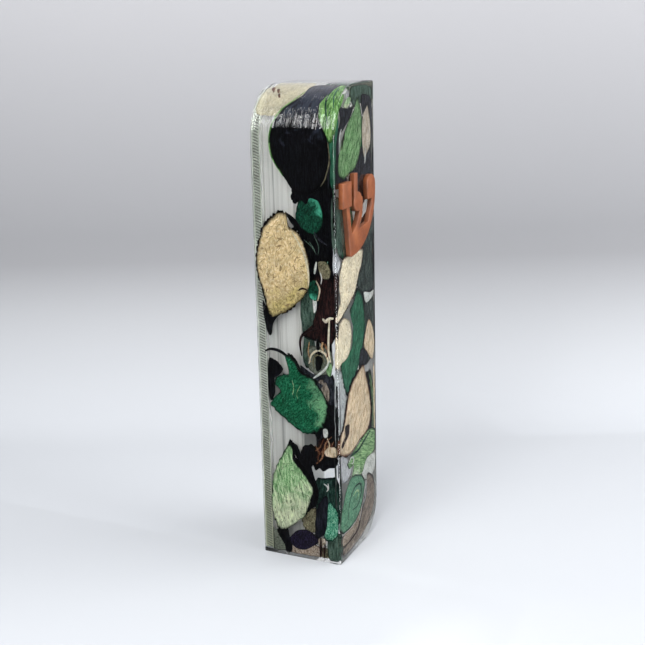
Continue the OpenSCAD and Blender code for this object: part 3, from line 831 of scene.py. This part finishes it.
left_leaf("green_panel_base", "deep_green", 1.1,
    [(-7.2, 7.2), (-10.3, 8.2), (-10.4, 1), (-7.2, 0.8)], seed=91, axis=2)
left_leaf("grey_panel_base", "murk", 1.6,
    [(9.8, 8.6), (8.4, 6.4), (6.4, 6.4), (5, 4), (4.4, 1), (9.8, 0.9)], slot="tan_leaf", seed=105, axis=80)
left_leaf("grey_chip_base", "olive", 1.4,
    [(-5, 3.4), (-7.4, 3.2), (-7.4, 0.9), (-5, 0.9)], seed=92, ragged=0.08)

# dark leaves deeper in the thick resin in front of the chamber
left_leaf("black_petal_corner_top_piece", "black", 2.2,
    [(-1.2, 99), (-3, 104), (-8, 104), (-10, 96), (-10.2, 86), (-8.6, 79), (-4, 77.4), (-1.4, 82),
    (-0.9, 92)], seed=81, lean=0.2, ragged=0.05)
left_leaf("black_petal_corner_mid_piece", "black", 2.3,
    [(-2, 78), (-4, 81), (-8.6, 80.4), (-10.2, 72), (-10.2, 63), (-8, 58.6), (-5.4, 60), (-4, 67)], seed=82,
    lean=0.2, ragged=0.07)
left_leaf("teal_leaf_corner_piece", "deep_green", 1.7,
    [(-1.2, 71), (-2.8, 72.4), (-4.8, 71), (-5, 64), (-4, 59.4), (-1.6, 59.6), (-0.8, 65)], seed=83)
left_leaf("black_petal_corner_low_piece", "charcoal", 2.2,
    [(-3.6, 46), (-6, 50), (-9.6, 49.6), (-10.3, 42), (-10.2, 34), (-8, 30), (-4.4, 30), (-4, 36),
    (-3.4, 41)], seed=84, lean=0.2, ragged=0.07)
left_leaf("black_stalk_low", "black", 0.6,
    [(-5.8, 41), (-9.1, 43.4), (-10.3, 41.3), (-10.2, 33.6), (-8.1, 33.5), (-7.4, 36.7), (-5.4, 33.6),
    (-4.4, 34), (-4.6, 36.6)], seed=93, ragged=0.06)
left_leaf("dark_teal_leaf_corner_piece", "dark_teal", 2.3,
    [(-3.6, 21.6), (-6, 22.6), (-9.8, 22.8), (-10.3, 16), (-9.6, 9), (-5, 7), (-3.6, 10), (-3.2, 16)],
    seed=85, lean=0.2, ragged=0.05)

# leaves and petals behind the front face, from the top down
front_leaf("bright_green_front", "bright_green", 0.4,
    [(-9.4, 115.2), (-7.6, 117.6), (-5.6, 118.4), (-6, 116.6), (-7.2, 115.4), (-9, 113.8), (-10.2, 111.6),
    (-11.4, 108.4), (-11.6, 112)], seed=61)
front_leaf("teal_front_sliver", "teal", 0.6,
    [(-9.6, 112.8), (-10.2, 110.6), (-11.3, 107.5), (-11.8, 103), (-11.9, 98.6), (-11.2, 99), (-10.9, 104),
    (-9.8, 108.4), (-8.6, 111.6)], slot="teal_leaf", seed=62)
front_leaf("white_chip_front", "white_chip", 0.3,
    [(-3.6, 119), (-5.2, 119.1), (-7.4, 117.9), (-6.4, 117.6), (-4.4, 118)], seed=63, rings=6)
front_leaf("pale_green_chip_front", "light_green", 0.45,
    [(-1.4, 116.6), (-3.6, 116.8), (-5.8, 115.2), (-4.5, 114.4), (-2.6, 115)], seed=64, rings=6)
front_leaf("charcoal_petal_front", "charcoal", 0.8,
    [(-8.2, 115.4), (-6, 114.6), (-1.8, 114.4), (0.2, 114.6), (-0.7, 112.9), (-3.1, 111.2), (-6.2, 109.4),
    (-9, 108.6), (-7.8, 112)], seed=65, ragged=0.05)
front_leaf("murk_top_front", "deep_green", 1.6,
    [(-1, 118.6), (6, 119.2), (11.6, 118.4), (11.8, 115.4), (6.5, 115), (1, 114.4)], seed=66, ragged=0.06)
front_leaf("sage_leaf_piece", "sage", 0.4,
    [(2.6, 116.4), (0.6, 114.2), (-0.9, 112.9), (-3.4, 111.2), (-5.4, 109.3), (-7.2, 107.2), (-8.4, 105),
    (-9.6, 103.2), (-9.6, 99.8), (-6.6, 98), (-2.6, 98.9), (1.1, 100.3), (3.8, 103.9), (5, 108.5),
    (4.8, 112.5)], seed=21, axis=-30, crinkle=0.08)
strand("white_sliver_front", "white_chip", front_wall, 0.3, 0.5,
    [(-7.3, 109.9), (-8.5, 108), (-8.3, 105.8)])
strand("copper_sliver_front", "maroon", front_wall, 0.4, 0.35, [(-5.4, 109.2), (-6.6, 107.3), (-7.4, 105)])
front_leaf("narrow_beige_petal_piece", "narrow_beige", 1.0,
    [(8.4, 115.8), (6.4, 112.8), (5.6, 109.7), (5.4, 106.1), (5.8, 103.4), (7, 101), (8.3, 102.4),
    (10.2, 103.9), (10.9, 106.7), (10.6, 110.5), (9.6, 113)], seed=22)
strand("narrow_beige_petal_tip", "white_chip", front_wall, 0.36, 0.9,
    [(7.6, 103.8), (7.1, 101.6), (6.8, 100.2)])
front_leaf("dark_petal_right_top", "charcoal", 0.8,
    [(5, 116.6), (8.7, 116.8), (11, 115.6), (11.7, 112), (11.8, 106), (11.6, 104), (11, 110), (9, 114),
    (6.8, 114.6), (5.7, 112)], seed=67, ragged=0.06, centre=(9.8, 115))
front_leaf("black_petal_front_piece", "charcoal", 2.0,
    [(5, 104.6), (8, 102.6), (11.6, 103), (11.7, 95), (6, 90), (-1, 92), (-2, 97), (0.6, 100.4)], seed=23,
    curl=0.4)
front_leaf("navy_petal_front_piece", "navy", 1.5,
    [(-8.4, 110.6), (-10.9, 108), (-11.8, 103.2), (-11.8, 97), (-7, 96), (-3, 97), (-6.6, 100.6),
    (-8.4, 105.2), (-7.4, 108.6)], seed=33, curl=0.2, centre=(-9, 101))
front_leaf("dark_green_front_piece", "deep_green", 1.0,
    [(-11.9, 93.6), (-8, 93.4), (-5.6, 89.4), (-5.2, 84.4), (-8.4, 79.4), (-10.6, 82), (-11.9, 84)],
    slot="emerald_leaf", node="dark_green_leaf_front", seed=24, axis=4)
front_leaf("dark_green_front_low", "teal", 1.6,
    [(-5, 93), (-1, 90), (0, 84), (-3, 79.6), (-7, 78.6), (-8, 80.6), (-5.4, 84.4)], seed=68, axis=4)
front_leaf("lilac_petal_front", "lilac_grey", 0.7,
    [(-11.9, 82.4), (-10.9, 81), (-8.8, 78.5), (-9.9, 76.3), (-11.9, 76)], seed=69)
front_leaf("slate_petal_front_piece", "slate", 1.5,
    [(3.6, 84), (11.6, 86), (11.7, 77), (11.7, 67.6), (7.2, 67.2), (3.3, 68.6), (1.6, 71.1), (4.4, 76)],
    seed=34, curl=0.2)
front_leaf("cream_leaf_front_piece", "pale_cream", 0.4,
    [(4.7, 79), (4, 75.9), (1.3, 72.4), (-0.7, 69.2), (-3.9, 67.2), (-7, 65.7), (-10.1, 64.2),
    (-11.9, 64.3), (-11.2, 66.6), (-10, 68.1), (-9.5, 69.7), (-10.3, 73.2), (-9, 77.1), (-7.1, 79.1),
    (-3.5, 79.3), (0.9, 79.8)], seed=25, axis=-50, backing=(0.45, -0.15, 1.02))
front_leaf("dark_strip_front", "maroon", 0.6,
    [(-11.9, 75.8), (-10.2, 75.2), (-10.3, 73.1), (-10.6, 69.6), (-11.9, 66.4)], seed=70)
front_leaf("dark_strip_front_low", "maroon", 0.6,
    [(-11.9, 64.2), (-11.4, 64), (-11.2, 60.4), (-11.9, 58.8)], seed=94)
front_leaf("white_triangle_front", "white_chip", 0.8,
    [(5.2, 67.8), (9.3, 66.9), (11.8, 67), (10.9, 65.4), (6.6, 64.7)], seed=95, rings=8)
front_leaf("cream_petal_front_piece", "pale_cream", 0.7,
    [(-7.2, 64.2), (-4, 62.4), (-2.8, 58.7), (-3.6, 55.5), (-5.6, 53.6), (-9, 53), (-11.8, 52),
    (-11.8, 56.3), (-11.2, 59.7), (-10.2, 63.2)], seed=26)
front_leaf("long_teal_leaf_piece", "teal", 1.0,
    [(1, 69.6), (-1, 67.2), (-3.6, 65), (-1.8, 62.3), (-2.6, 56), (-5.2, 53.4), (-8.9, 53.4), (-9.6, 51.5),
    (-8.6, 47.3), (-6.2, 43.7), (-3, 45.3), (1, 48.9), (3, 51.8), (4.4, 54.1), (5.9, 59), (5.4, 63.6),
    (4.2, 67.8)], slot="teal_leaf", seed=27, centre=(0.6, 56), axis=-25)
front_leaf("dark_petal_right_mid", "slate", 1.9,
    [(6, 64), (11.7, 65), (11.7, 52), (8, 48), (4, 50), (5, 57)], seed=96)
front_leaf("black_bit_right_mid", "charcoal", 0.9,
    [(3, 53.3), (6.3, 52.2), (7.7, 49.7), (4.9, 48.1), (2.2, 47.3), (1.6, 50.3)], seed=97, ragged=0.08)
front_leaf("beige_petal_front_piece", "tan", 0.75,
    [(8.5, 60), (11.1, 56.6), (11.8, 51.7), (10.2, 48.7), (7.1, 51.4), (4.9, 53.9), (6.4, 57.8)], seed=28)
front_leaf("tan_leaf_piece", "tan", 0.4,
    [(3.9, 48.9), (-0.2, 47.7), (-4.1, 45.4), (-6.1, 42.6), (-7.5, 39.1), (-8.9, 36.1), (-11.2, 33.9),
    (-11.5, 30.2), (-6.7, 27.8), (-2.8, 28), (1.2, 29.3), (6, 30.1), (8.1, 31.9), (8.9, 35.5), (7.7, 40.9),
    (5.7, 45.6)], seed=29, centre=(0, 37), axis=-25, backing=(-0.35, 0.2, 1.025))
front_leaf("tan_leaf_tear", "maroon", 0.22,
    [(-10.4, 32.3), (-7.7, 33.6), (-8.3, 36.1), (-5.8, 36.1), (-5.8, 33.5), (-8.4, 31.8), (-10.3, 31.1)],
    seed=98, thick=0.08, ragged=0.08, rings=8)
front_leaf("pale_strip_right", "tan", 0.8, [(10.8, 45.2), (11.8, 45), (11.8, 28), (11, 28.6)], seed=99)
front_leaf("pale_petal_corner", "pale_grey", 1.0,
    [(-11.5, 49.7), (-9.6, 51.2), (-6.8, 44.4), (-7.5, 40.5), (-9.1, 35.7), (-10.4, 33.5), (-11.8, 32.6),
    (-11.9, 41)], seed=106, axis=4)
front_leaf("lilac_petal_low", "lilac_grey", 0.9,
    [(-10.7, 29.3), (-7.6, 28.3), (-5.2, 25), (-4, 22.4), (-7.9, 21), (-10.4, 23)], seed=100)
front_leaf("pale_green_front_piece", "pale_green", 0.6,
    [(11.8, 28.6), (8.2, 30.2), (4.1, 29.7), (-0.7, 28.4), (-4.6, 27.1), (-6.8, 25.6), (-5.4, 23.8),
    (-2.8, 24.5), (-3.5, 22.2), (-4.3, 20.7), (-1, 18.8), (3.1, 20), (5.9, 22.5), (10.8, 22.7), (11.8, 25)],
    node="pale_green_leaf_front", seed=30, axis=70)
strand("pale_green_front_curl", "white_chip", front_wall, 0.24, 0.35,
    [(-6.4, 25.6), (-4.8, 26.6), (-3.2, 26), (-3.4, 24.8), (-4.6, 24.9)])
strand("pale_green_front_shade", "dark_emerald", front_wall, 0.4, 0.42,
    [(-5, 27.2), (0, 27), (4, 28.2), (8, 29.4)])
front_leaf("white_patch_front", "white_chip", 1.2,
    [(2.7, 20.4), (6.4, 22.5), (11.7, 22.1), (11.7, 17.9), (8.3, 15.6), (4.1, 17.3)], seed=101)
front_leaf("teal_leaf_front_piece", "soft_teal", 0.4,
    [(-4.3, 21.2), (1, 19.8), (4.3, 16.9), (3.5, 13.7), (1.4, 10.3), (-1.4, 8.4), (-6.1, 7.5), (-11.5, 8.4),
    (-11.7, 12.4), (-10.2, 15.8), (-8.2, 18.9)], seed=31, axis=-30, crinkle=0.08)
strand("teal_leaf_front_swirl", "dark_teal", front_wall, 0.26, 0.3,
    [(-7.3, 10.6), (-5.8, 15.2), (-2.6, 17.6), (1, 17.2), (1.5, 14.6), (-0.8, 12), (-4.6, 12)])
strand("teal_leaf_front_rib", "light_green", front_wall, 0.3, 0.28,
    [(-3.6, 15.6), (-1.4, 16.2), (0, 15.2), (-1.6, 13.6)])
front_leaf("brown_petal_base_piece", "grey_brown", 0.6,
    [(6, 18.2), (9.4, 16.4), (11, 12.6), (10.2, 7.6), (7.6, 4.6), (3, 2.2), (-3, 1.2), (-9.8, 1.2),
    (-11.4, 3), (-6.1, 4), (-1.4, 5), (1.4, 8), (4.9, 12), (5.6, 15.4)], seed=32, centre=(5.6, 8), axis=-45)
front_leaf("beige_petal_base_front", "mottled", 0.8,
    [(-10.6, 6.9), (-4.6, 7.1), (-0.5, 8.2), (2.4, 11.4), (3.6, 13), (1, 8), (-1.3, 4.9), (-6, 4.1),
    (-10.9, 4.3)], seed=102, centre=(-3, 6))
strand("dark_line_base_front", "maroon", front_wall, 0.3, 0.4,
    [(5, 14.6), (1.3, 8), (-1.6, 4.8), (-9.6, 3.8)])
front_leaf("grey_strip_low_front", "slate", 1.3,
    [(-11.8, 31), (-10.6, 30), (-10.4, 22), (-9.6, 17.6), (-11, 14), (-11.8, 16)], seed=103)

# leaves and petals in the right wall
right_leaf("green_leaf_right_piece", "emerald", 0.4,
    [(-3, 111), (2, 107), (4, 100), (1.5, 93), (0, 90.5), (-4.5, 92), (-7, 99), (-6, 106)], seed=41)
right_leaf("cream_leaf_right_piece", "cream", 0.4,
    [(-4.5, 86.5), (1, 83), (3.5, 76), (2.5, 68), (0, 62), (-4.5, 64), (-7.8, 71), (-7.5, 80)], seed=42,
    backing=(-0.3, -0.2, 1.03))
right_leaf("black_petal_right_piece", "black", 1.2,
    [(4, 61), (5.6, 55), (3, 49), (-1, 46.8), (-3.2, 51), (-1.5, 57), (1, 60.5)], seed=43)
right_leaf("sage_leaf_right_piece", "light_green", 0.4,
    [(-4, 43.8), (1, 41), (3.4, 34), (1.5, 26), (-1, 22.6), (-5.5, 24), (-8, 31), (-7, 39)], seed=44,
    backing=(0.4, 0.3, 1.02))


# ---- the clear body ----

def case_outline(inset, arc_steps=24):
    """Points round the case's front outline, anticlockwise from the lower left corner."""
    left, right = LEFT_X + inset, RIGHT_X - inset
    low, high = inset, CASE_H - inset
    foot_r, top_r = FOOT_ROUND - inset, TOP_ROUND - inset
    turns = [math.pi / 2 * i / arc_steps for i in range(arc_steps + 1)]
    foot = [(RIGHT_X - FOOT_ROUND + foot_r * math.sin(a), FOOT_ROUND - foot_r * math.cos(a)) for a in turns]
    top = [(TURN_X - top_r * math.sin(a), TURN_Z + top_r * math.cos(a)) for a in turns]
    return [(left, low)] + foot + [(right, high)] + top


def add_ring(bm, outline, y):
    return [bm.verts.new((x, y, z)) for x, z in outline]


def side_inset(y):
    """How far the sides stand in at a place along Y: fine rounded ridges, uneven in height."""
    phase = (y - FRONT_Y) / RIDGE_PITCH
    height = 0.55 + 0.6 * noise_at(y, 0, 0, 1.3, 3)
    return RIDGE_DEPTH * height * (0.5 - 0.5 * math.cos(2 * math.pi * phase))


def side_rings():
    """(y, inset) of each ring round the block: the rounded front edge, then the ridged sides."""
    rings = []
    for k in (4, 3, 2, 1, 0):
        a = math.pi / 2 * k / 4
        y, inset = FRONT_Y + FRONT_EDGE * (1 - math.sin(a)), FRONT_EDGE * (1 - math.cos(a))
        rings.append((round(y, 4), round(inset, 4)))
    steps = int((BACK_Y - FRONT_Y - FRONT_EDGE - BACK_EDGE) / (RIDGE_PITCH / 6))
    for k in range(1, steps + 1):
        y = FRONT_Y + FRONT_EDGE + (BACK_Y - BACK_EDGE - FRONT_Y - FRONT_EDGE) * k / steps
        rings.append((y, side_inset(y)))
    return rings + [(BACK_Y, BACK_EDGE)]


def add_chamber(bm):
    """The scroll chamber's walls, with fine upright ribs, and its end. Gives the mouth's corners."""
    corners = [(-1, CHAMBER_FLOOR), (1, CHAMBER_FLOOR), (1, CHAMBER_TOP), (-1, CHAMBER_TOP)]
    loops = []
    for k in range(CHAMBER_RIBS + 1):
        y = PLATE_Y + (CHAMBER_FRONT - PLATE_Y) * k / CHAMBER_RIBS
        rib = CHAMBER_RIB_H * (k % 2)
        loops.append([
            bm.verts.new((side * (CHAMBER_X - rib), y, z + (rib if z == CHAMBER_FLOOR else -rib)))
            for side, z in corners
        ])
    for a, b in zip(loops, loops[1:]):
        bridge(bm, a, b, FROSTED)
    bm.faces.new(loops[-1]).material_index = FROSTED
    return loops[0]


def loop_edges(bm, loop):
    return [bm.edges.get((loop[i], loop[(i + 1) % len(loop)])) for i in range(len(loop))]


def build_body():
    """The block: ridged sides, soft front edge, a rebate for the plate and the scroll chamber."""
    bm = bmesh.new()
    loops = [add_ring(bm, case_outline(inset), y) for y, inset in side_rings()]
    for a, b in zip(loops, loops[1:]):
        bridge(bm, a, b)
    bm.faces.new(loops[0])
    # the rim, the rebate's wall and its floor, down to the mouth of the chamber
    rebate_top = add_ring(bm, case_outline(RIM), BACK_Y)
    bridge(bm, loops[-1], rebate_top)
    rebate_floor = add_ring(bm, case_outline(RIM), PLATE_Y)
    bridge(bm, rebate_top, rebate_floor)
    mouth = add_chamber(bm)
    floor_edges = loop_edges(bm, rebate_floor) + loop_edges(bm, mouth)
    bmesh.ops.triangle_fill(bm, edges=floor_edges, use_beauty=True)
    obj = new_object("resin_block", bm, [resin, frosted], smooth=False)
    for poly in obj.data.polygons:
        poly.use_smooth = abs(poly.normal.y) < 0.9 and poly.material_index != FROSTED
    obj.data.set_sharp_from_angle(angle=math.radians(40))
    place(obj, "root", "clear_resin", "resin_body")


build_body()


# ---- the printed plate ----

def plate_outline():
    """The plate's outline in steps of a sixth of a rung, and how far round it each point is."""
    outline = case_outline(plate_low.x - LEFT_X, 48)
    fine = []
    for i in range(len(outline)):
        a, b = Vector(outline[i]), Vector(outline[(i + 1) % len(outline)])
        pieces = max(1, round((b - a).length / (RUNG_PITCH / 6)))
        for k in range(pieces):
            fine.append(a.lerp(b, k / pieces))
    lengths = [0.0]
    for i in range(1, len(fine)):
        lengths.append(lengths[-1] + (fine[i] - fine[i - 1]).length)
    return fine, lengths


def build_plate():
    """The plate in its rebate: the rungs of its print show round its edge."""
    bm = bmesh.new()
    fine, lengths = plate_outline()
    total = len(fine)
    rung_layer = bm.verts.layers.float.new("rung")

    def ring(y, dent, inset):
        row = []
        for i in range(total):
            tangent = (fine[(i + 1) % total] - fine[i - 1]).normalized()
            inward = Vector((-tangent.y, tangent.x))
            slant = RUNG_SLANT * (y - PLATE_Y)
            wave = 0.5 - 0.5 * math.cos(2 * math.pi * (lengths[i] + slant) / RUNG_PITCH)
            q = fine[i] + inward * (dent * wave + inset)
            vert = bm.verts.new((q.x, y, q.y))
            vert[rung_layer] = wave if dent else 0.0
            row.append(vert)
        return row

    y0 = PLATE_Y + PLATE_SEAT
    deep = BACK_Y - y0
    profile = [  # across the edge: the distance from the inner face, the rungs' dent and the inset
        (0.0, 0, 0.1), (0.12, 0, 0), (0.4, 0, 0), (0.5, 0.16, 0.02), (0.9, 0.2, 0.02),
        (1.4, 0.2, 0.02), (1.9, 0.16, 0.02), (2.0, 0, 0), (deep - 0.12, 0, 0), (deep, 0, 0.1),
    ]
    rows = [ring(y0 + dy, dent, inset) for dy, dent, inset in profile]
    for a, b in zip(rows, rows[1:]):
        bridge(bm, a, b)
    bm.faces.new(rows[0])
    bm.faces.new(rows[-1])
    obj = new_object("back_plate_piece", bm, [plate_plastic])
    obj.data.set_sharp_from_angle(angle=math.radians(35))
    place(obj, "plate", "printed_plate", "back_plate")


def build_locating_rib():
    """The rib on the plate's inner face, which stands into the chamber's mouth."""
    root, tip = PLATE_Y + PLATE_SEAT, plate_low.y
    shoulder = tip + RIB_BEVEL
    bm = bmesh.new()
    rings = []
    for y, inset in ((root, 0), (shoulder, 0), (tip, RIB_BEVEL), (tip, RIB_T - RIB_BEVEL),
                     (shoulder, RIB_T), (root, RIB_T)):
        x = CHAMBER_X - PLATE_GAP - inset
        low, high = CHAMBER_FLOOR + PLATE_GAP + inset, CHAMBER_TOP - PLATE_GAP - inset
        rings.append([bm.verts.new(p) for p in ((-x, y, low), (x, y, low), (x, y, high), (-x, y, high))])
    for a, b in zip(rings, rings[1:] + rings[:1]):
        bridge(bm, a, b)
    rib = new_object("locating_rib", bm, [plate_plastic], smooth=False)
    place(rib, "plate", "printed_plate")


build_plate()
build_locating_rib()


# ---- the rolled parchment ----

def build_scroll():
    """One sheet, rolled up from the middle out, with slightly uneven ends."""
    centre = (scroll_low + scroll_high) / 2
    outer = (scroll_high.x - scroll_low.x) / 2
    height = scroll_high.z - scroll_low.z - 1.2
    bm = bmesh.new()
    grid = []
    for i in range(SHEET_STEPS + 1):
        t = i / SHEET_STEPS
        angle = 2 * math.pi * SHEET_TURNS * t + 2.2
        r = SHEET_EYE + (outer - SHEET_T - SHEET_EYE) * t
        column = []
        slip = 0.5 * math.sin(3.1 * t) + 0.15 * noise_at(t * 40, 0, 0, 3, 5)
        for k in range(SHEET_ROWS + 1):
            z = scroll_low.z + 0.35 + slip * 0.5 + height * (k / SHEET_ROWS)
            wave = 0.03 * noise_at(t * 60, z, 0, 9, 6) * min(1, 4 * t)
            pair = []
            for extra in (0.0, SHEET_T):
                rr = min(r + extra + wave, outer)
                pair.append(bm.verts.new((centre.x + rr * math.cos(angle),
                                          centre.y + rr * math.sin(angle), z)))
            column.append(pair)
        grid.append(column)
    for a, b in zip(grid, grid[1:]):
        for k in range(SHEET_ROWS):
            bm.faces.new([a[k][0], b[k][0], b[k + 1][0], a[k + 1][0]])
            bm.faces.new([a[k][1], a[k + 1][1], b[k + 1][1], b[k][1]])
        bm.faces.new([a[0][0], a[0][1], b[0][1], b[0][0]])
        bm.faces.new([a[-1][0], b[-1][0], b[-1][1], a[-1][1]])
    for column in (grid[0], grid[-1]):
        for k in range(SHEET_ROWS):
            bm.faces.new([column[k][0], column[k + 1][0], column[k + 1][1], column[k][1]])
    obj = new_object("parchment_roll", bm, [parchment])
    obj.data.set_sharp_from_angle(angle=math.radians(50))
    place(obj, "scroll", "parchment", "parchment_scroll")


build_scroll()


# ---- the emblem ----

def build_emblem():
    """The emblem's own outline from the CAD node, with its edges softened."""
    bm = bmesh.new()
    bm.from_mesh(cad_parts["shin_emblem"].data)
    bmesh.ops.scale(bm, vec=(1 / MM,) * 3, verts=bm.verts)
    bmesh.ops.remove_doubles(bm, verts=bm.verts, dist=0.001)
    bmesh.ops.dissolve_limit(bm, angle_limit=math.radians(1), verts=bm.verts, edges=bm.edges)
    front = [e for e in bm.edges
             if all(abs(v.co.y - emblem_low.y) < 0.01 for v in e.verts) and e.calc_face_angle(0) > 0.5]
    bmesh.ops.bevel(bm, geom=front, offset=0.16, segments=3, profile=0.5, affect="EDGES",
                    clamp_overlap=True)
    bmesh.ops.triangulate(bm, faces=[f for f in bm.faces if len(f.verts) > 4])
    obj = new_object("shin", bm, [copper])
    obj.data.set_sharp_from_angle(angle=math.radians(40))
    place(obj, "root", "copper_emblem", "shin_emblem")


build_emblem()


# ---- stage, light and camera ----

def paper_material():
    """Plain backdrop paper, with painted shade where it turns up into a wall and painted light again higher
    up it.
    It has one side only, so that it never hides the case from behind or from below."""
    n = Nodes("backdrop_paper")
    shader = n.principled(Base_Color=(0.56, 0.575, 0.605, 1), Roughness=0.6)
    # painted shade and light: the one paper is darkest low on the wall and lighter on the floor and near the
    # top
    tone = n.ramp(n.height(4.0), [(0.01, (0.44, 0.456, 0.48)), (0.2, (0.248, 0.25, 0.262)),
                                  (0.8, (0.43, 0.428, 0.446))])
    n.link(tone, shader.inputs["Base Color"])
    side = n.add("ShaderNodeNewGeometry")
    nothing = n.add("ShaderNodeBsdfTransparent")
    sheet = n.add("ShaderNodeMixShader")
    n.link(side.outputs["Backfacing"], sheet.inputs[0])
    n.link(shader.outputs[0], sheet.inputs[1])
    n.link(nothing.outputs[0], sheet.inputs[2])
    n.link(sheet.outputs[0], n.output.inputs[0])
    return n.material


def build_backdrop():
    """A pale sweep: a floor that turns up into a wall behind the case."""
    ahead = Vector((math.sin(VIEW_YAW), math.cos(VIEW_YAW), 0))
    across = Vector((ahead.y, -ahead.x, 0))
    near, turn, bend, top, half_width = -500, 70, 60, 700, 900
    line = [(near, 0), (-100, 0), (turn, 0)]
    for i in range(1, 17):
        a = math.pi / 2 * i / 16
        line.append((turn + bend * math.sin(a), bend * (1 - math.cos(a))))
    line.append((turn + bend, top))
    bm = bmesh.new()
    rows = []
    for d, z in line:
        rows.append([bm.verts.new(ahead * d + across * w + Vector((0, 0, z - FLOOR_GAP)))
                     for w in (-half_width, half_width)])
    for a, b in zip(rows, rows[1:]):
        bm.faces.new([a[0], a[1], b[1], b[0]])
    floor = new_object("backdrop", bm, [paper_material()])
    if floor.data.polygons[0].normal.z < 0:
        floor.data.flip_normals()


def area_light(name, at, toward, size, power):
    data = bpy.data.lights.new(name, "AREA")
    data.shape = "RECTANGLE"
    data.size, data.size_y = size[0] * MM, size[1] * MM
    data.energy = power
    obj = bpy.data.objects.new(name, data)
    obj.location = Vector(at) * MM
    obj.rotation_euler = (Vector(toward) - Vector(at)).to_track_quat("-Z", "Y").to_euler()
    bpy.context.scene.collection.objects.link(obj)


def upright(a, b, top):
    """The corners of a card that stands on the line from a to b."""
    return [(*a, CARD_FOOT), (*b, CARD_FOOT), (*b, top), (*a, top)]


def lying(low, high):
    """The corners of a card that lies on the floor."""
    return [(low[0], low[1], CARD_FOOT), (high[0], low[1], CARD_FOOT),
            (high[0], high[1], CARD_FOOT), (low[0], high[1], CARD_FOOT)]


def mirrored_cards(name, sheets, material):
    """Cards that nothing but a reflection shows."""
    bm = bmesh.new()
    for sheet in sheets:
        bm.faces.new([bm.verts.new(corner) for corner in sheet])
    cards = new_object(name, bm, [material])
    for kind in ("camera", "diffuse", "transmission", "shadow"):
        setattr(cards, "visible_" + kind, False)


def build_flag(name, sheets, grey):
    """Dark cards for the case to mirror, so that its dark leaves stay dark."""
    n = Nodes(name)
    n.principled(Base_Color=(grey, grey, grey * 1.05, 1), Roughness=1.0, Specular_IOR_Level=0.0)
    mirrored_cards(name, sheets, n.material)


def build_glint_card(a, b, top, strength):
    """A narrow bright card for the block's upright front edge to mirror."""
    n = Nodes("glint_card")
    glow = n.add("ShaderNodeEmission", Color=(0.95, 0.98, 1.0, 1), Strength=strength)
    n.link(glow.outputs[0], n.output.inputs[0])
    mirrored_cards("glint_card", [upright(a, b, top)], n.material)


def build_world(colour, strength):
    """Even light from all round."""
    world = bpy.data.worlds.new("studio")
    world.use_nodes = True
    background = world.node_tree.nodes["Background"]
    background.inputs[0].default_value = (*colour, 1)
    background.inputs[1].default_value = strength
    bpy.context.scene.world = world


def build_camera():
    """The photo's view of the case."""
    data = bpy.data.cameras.new("camera")
    data.lens = FOCAL
    data.sensor_width = 36.0
    camera = bpy.data.objects.new("camera", data)
    forward = Vector((math.sin(VIEW_YAW) * math.cos(VIEW_PITCH),
                      math.cos(VIEW_YAW) * math.cos(VIEW_PITCH), -math.sin(VIEW_PITCH)))
    flat_right = Vector((math.cos(VIEW_YAW), -math.sin(VIEW_YAW), 0))
    flat_up = flat_right.cross(forward)
    right = flat_right * math.cos(VIEW_ROLL) + flat_up * math.sin(VIEW_ROLL)
    up = flat_up * math.cos(VIEW_ROLL) - flat_right * math.sin(VIEW_ROLL)
    turn = Matrix((right, up, -forward)).transposed().to_4x4()
    camera.matrix_world = Matrix.Translation(CAMERA_AT * MM) @ turn
    bpy.context.scene.collection.objects.link(camera)
    bpy.context.scene.camera = camera


build_backdrop()
area_light("key_softbox", (-275, -10, 310), (0, 0, 50), (220, 220), 1.9)
area_light("front_softbox", (120, -420, 240), (0, 0, 60), (420, 300), 2.8)
area_light("top_softbox", (60, -75, 520), (0, 0, 0), (420, 420), 1.15)
# four weak strips for the rounded top corner to mirror as one soft-edged band
area_light("corner_strip", (-298, 164, 329), (-8, 0, 113), (50, 60), 0.03)
area_light("corner_strip_wide", (-299, 165, 330), (-8, 0, 113), (60, 110), 0.05)
area_light("corner_strip_faint", (-300, 166, 331), (-8, 0, 113), (74, 190), 0.08)
area_light("corner_strip_top", (-200, 190, 420), (-4, 0, 116), (26, 200), 0.08)
build_flag("left_flag", [lying((-420, -60), (LEFT_X - 1.5, 400)), upright((-340, 0), (-210, 260), 234)], 0.02)
build_flag("front_flag", [lying((-8, -200), (190, FRONT_Y - 1.5)), upright((20, -190), (125, 40), 260)], 0.1)
build_glint_card((-36, -33), (-17, -41), 112, 9.0)
build_world((0.93, 0.95, 1.0), 0.32)
build_camera()
bpy.context.scene.view_settings.view_transform = "Standard"
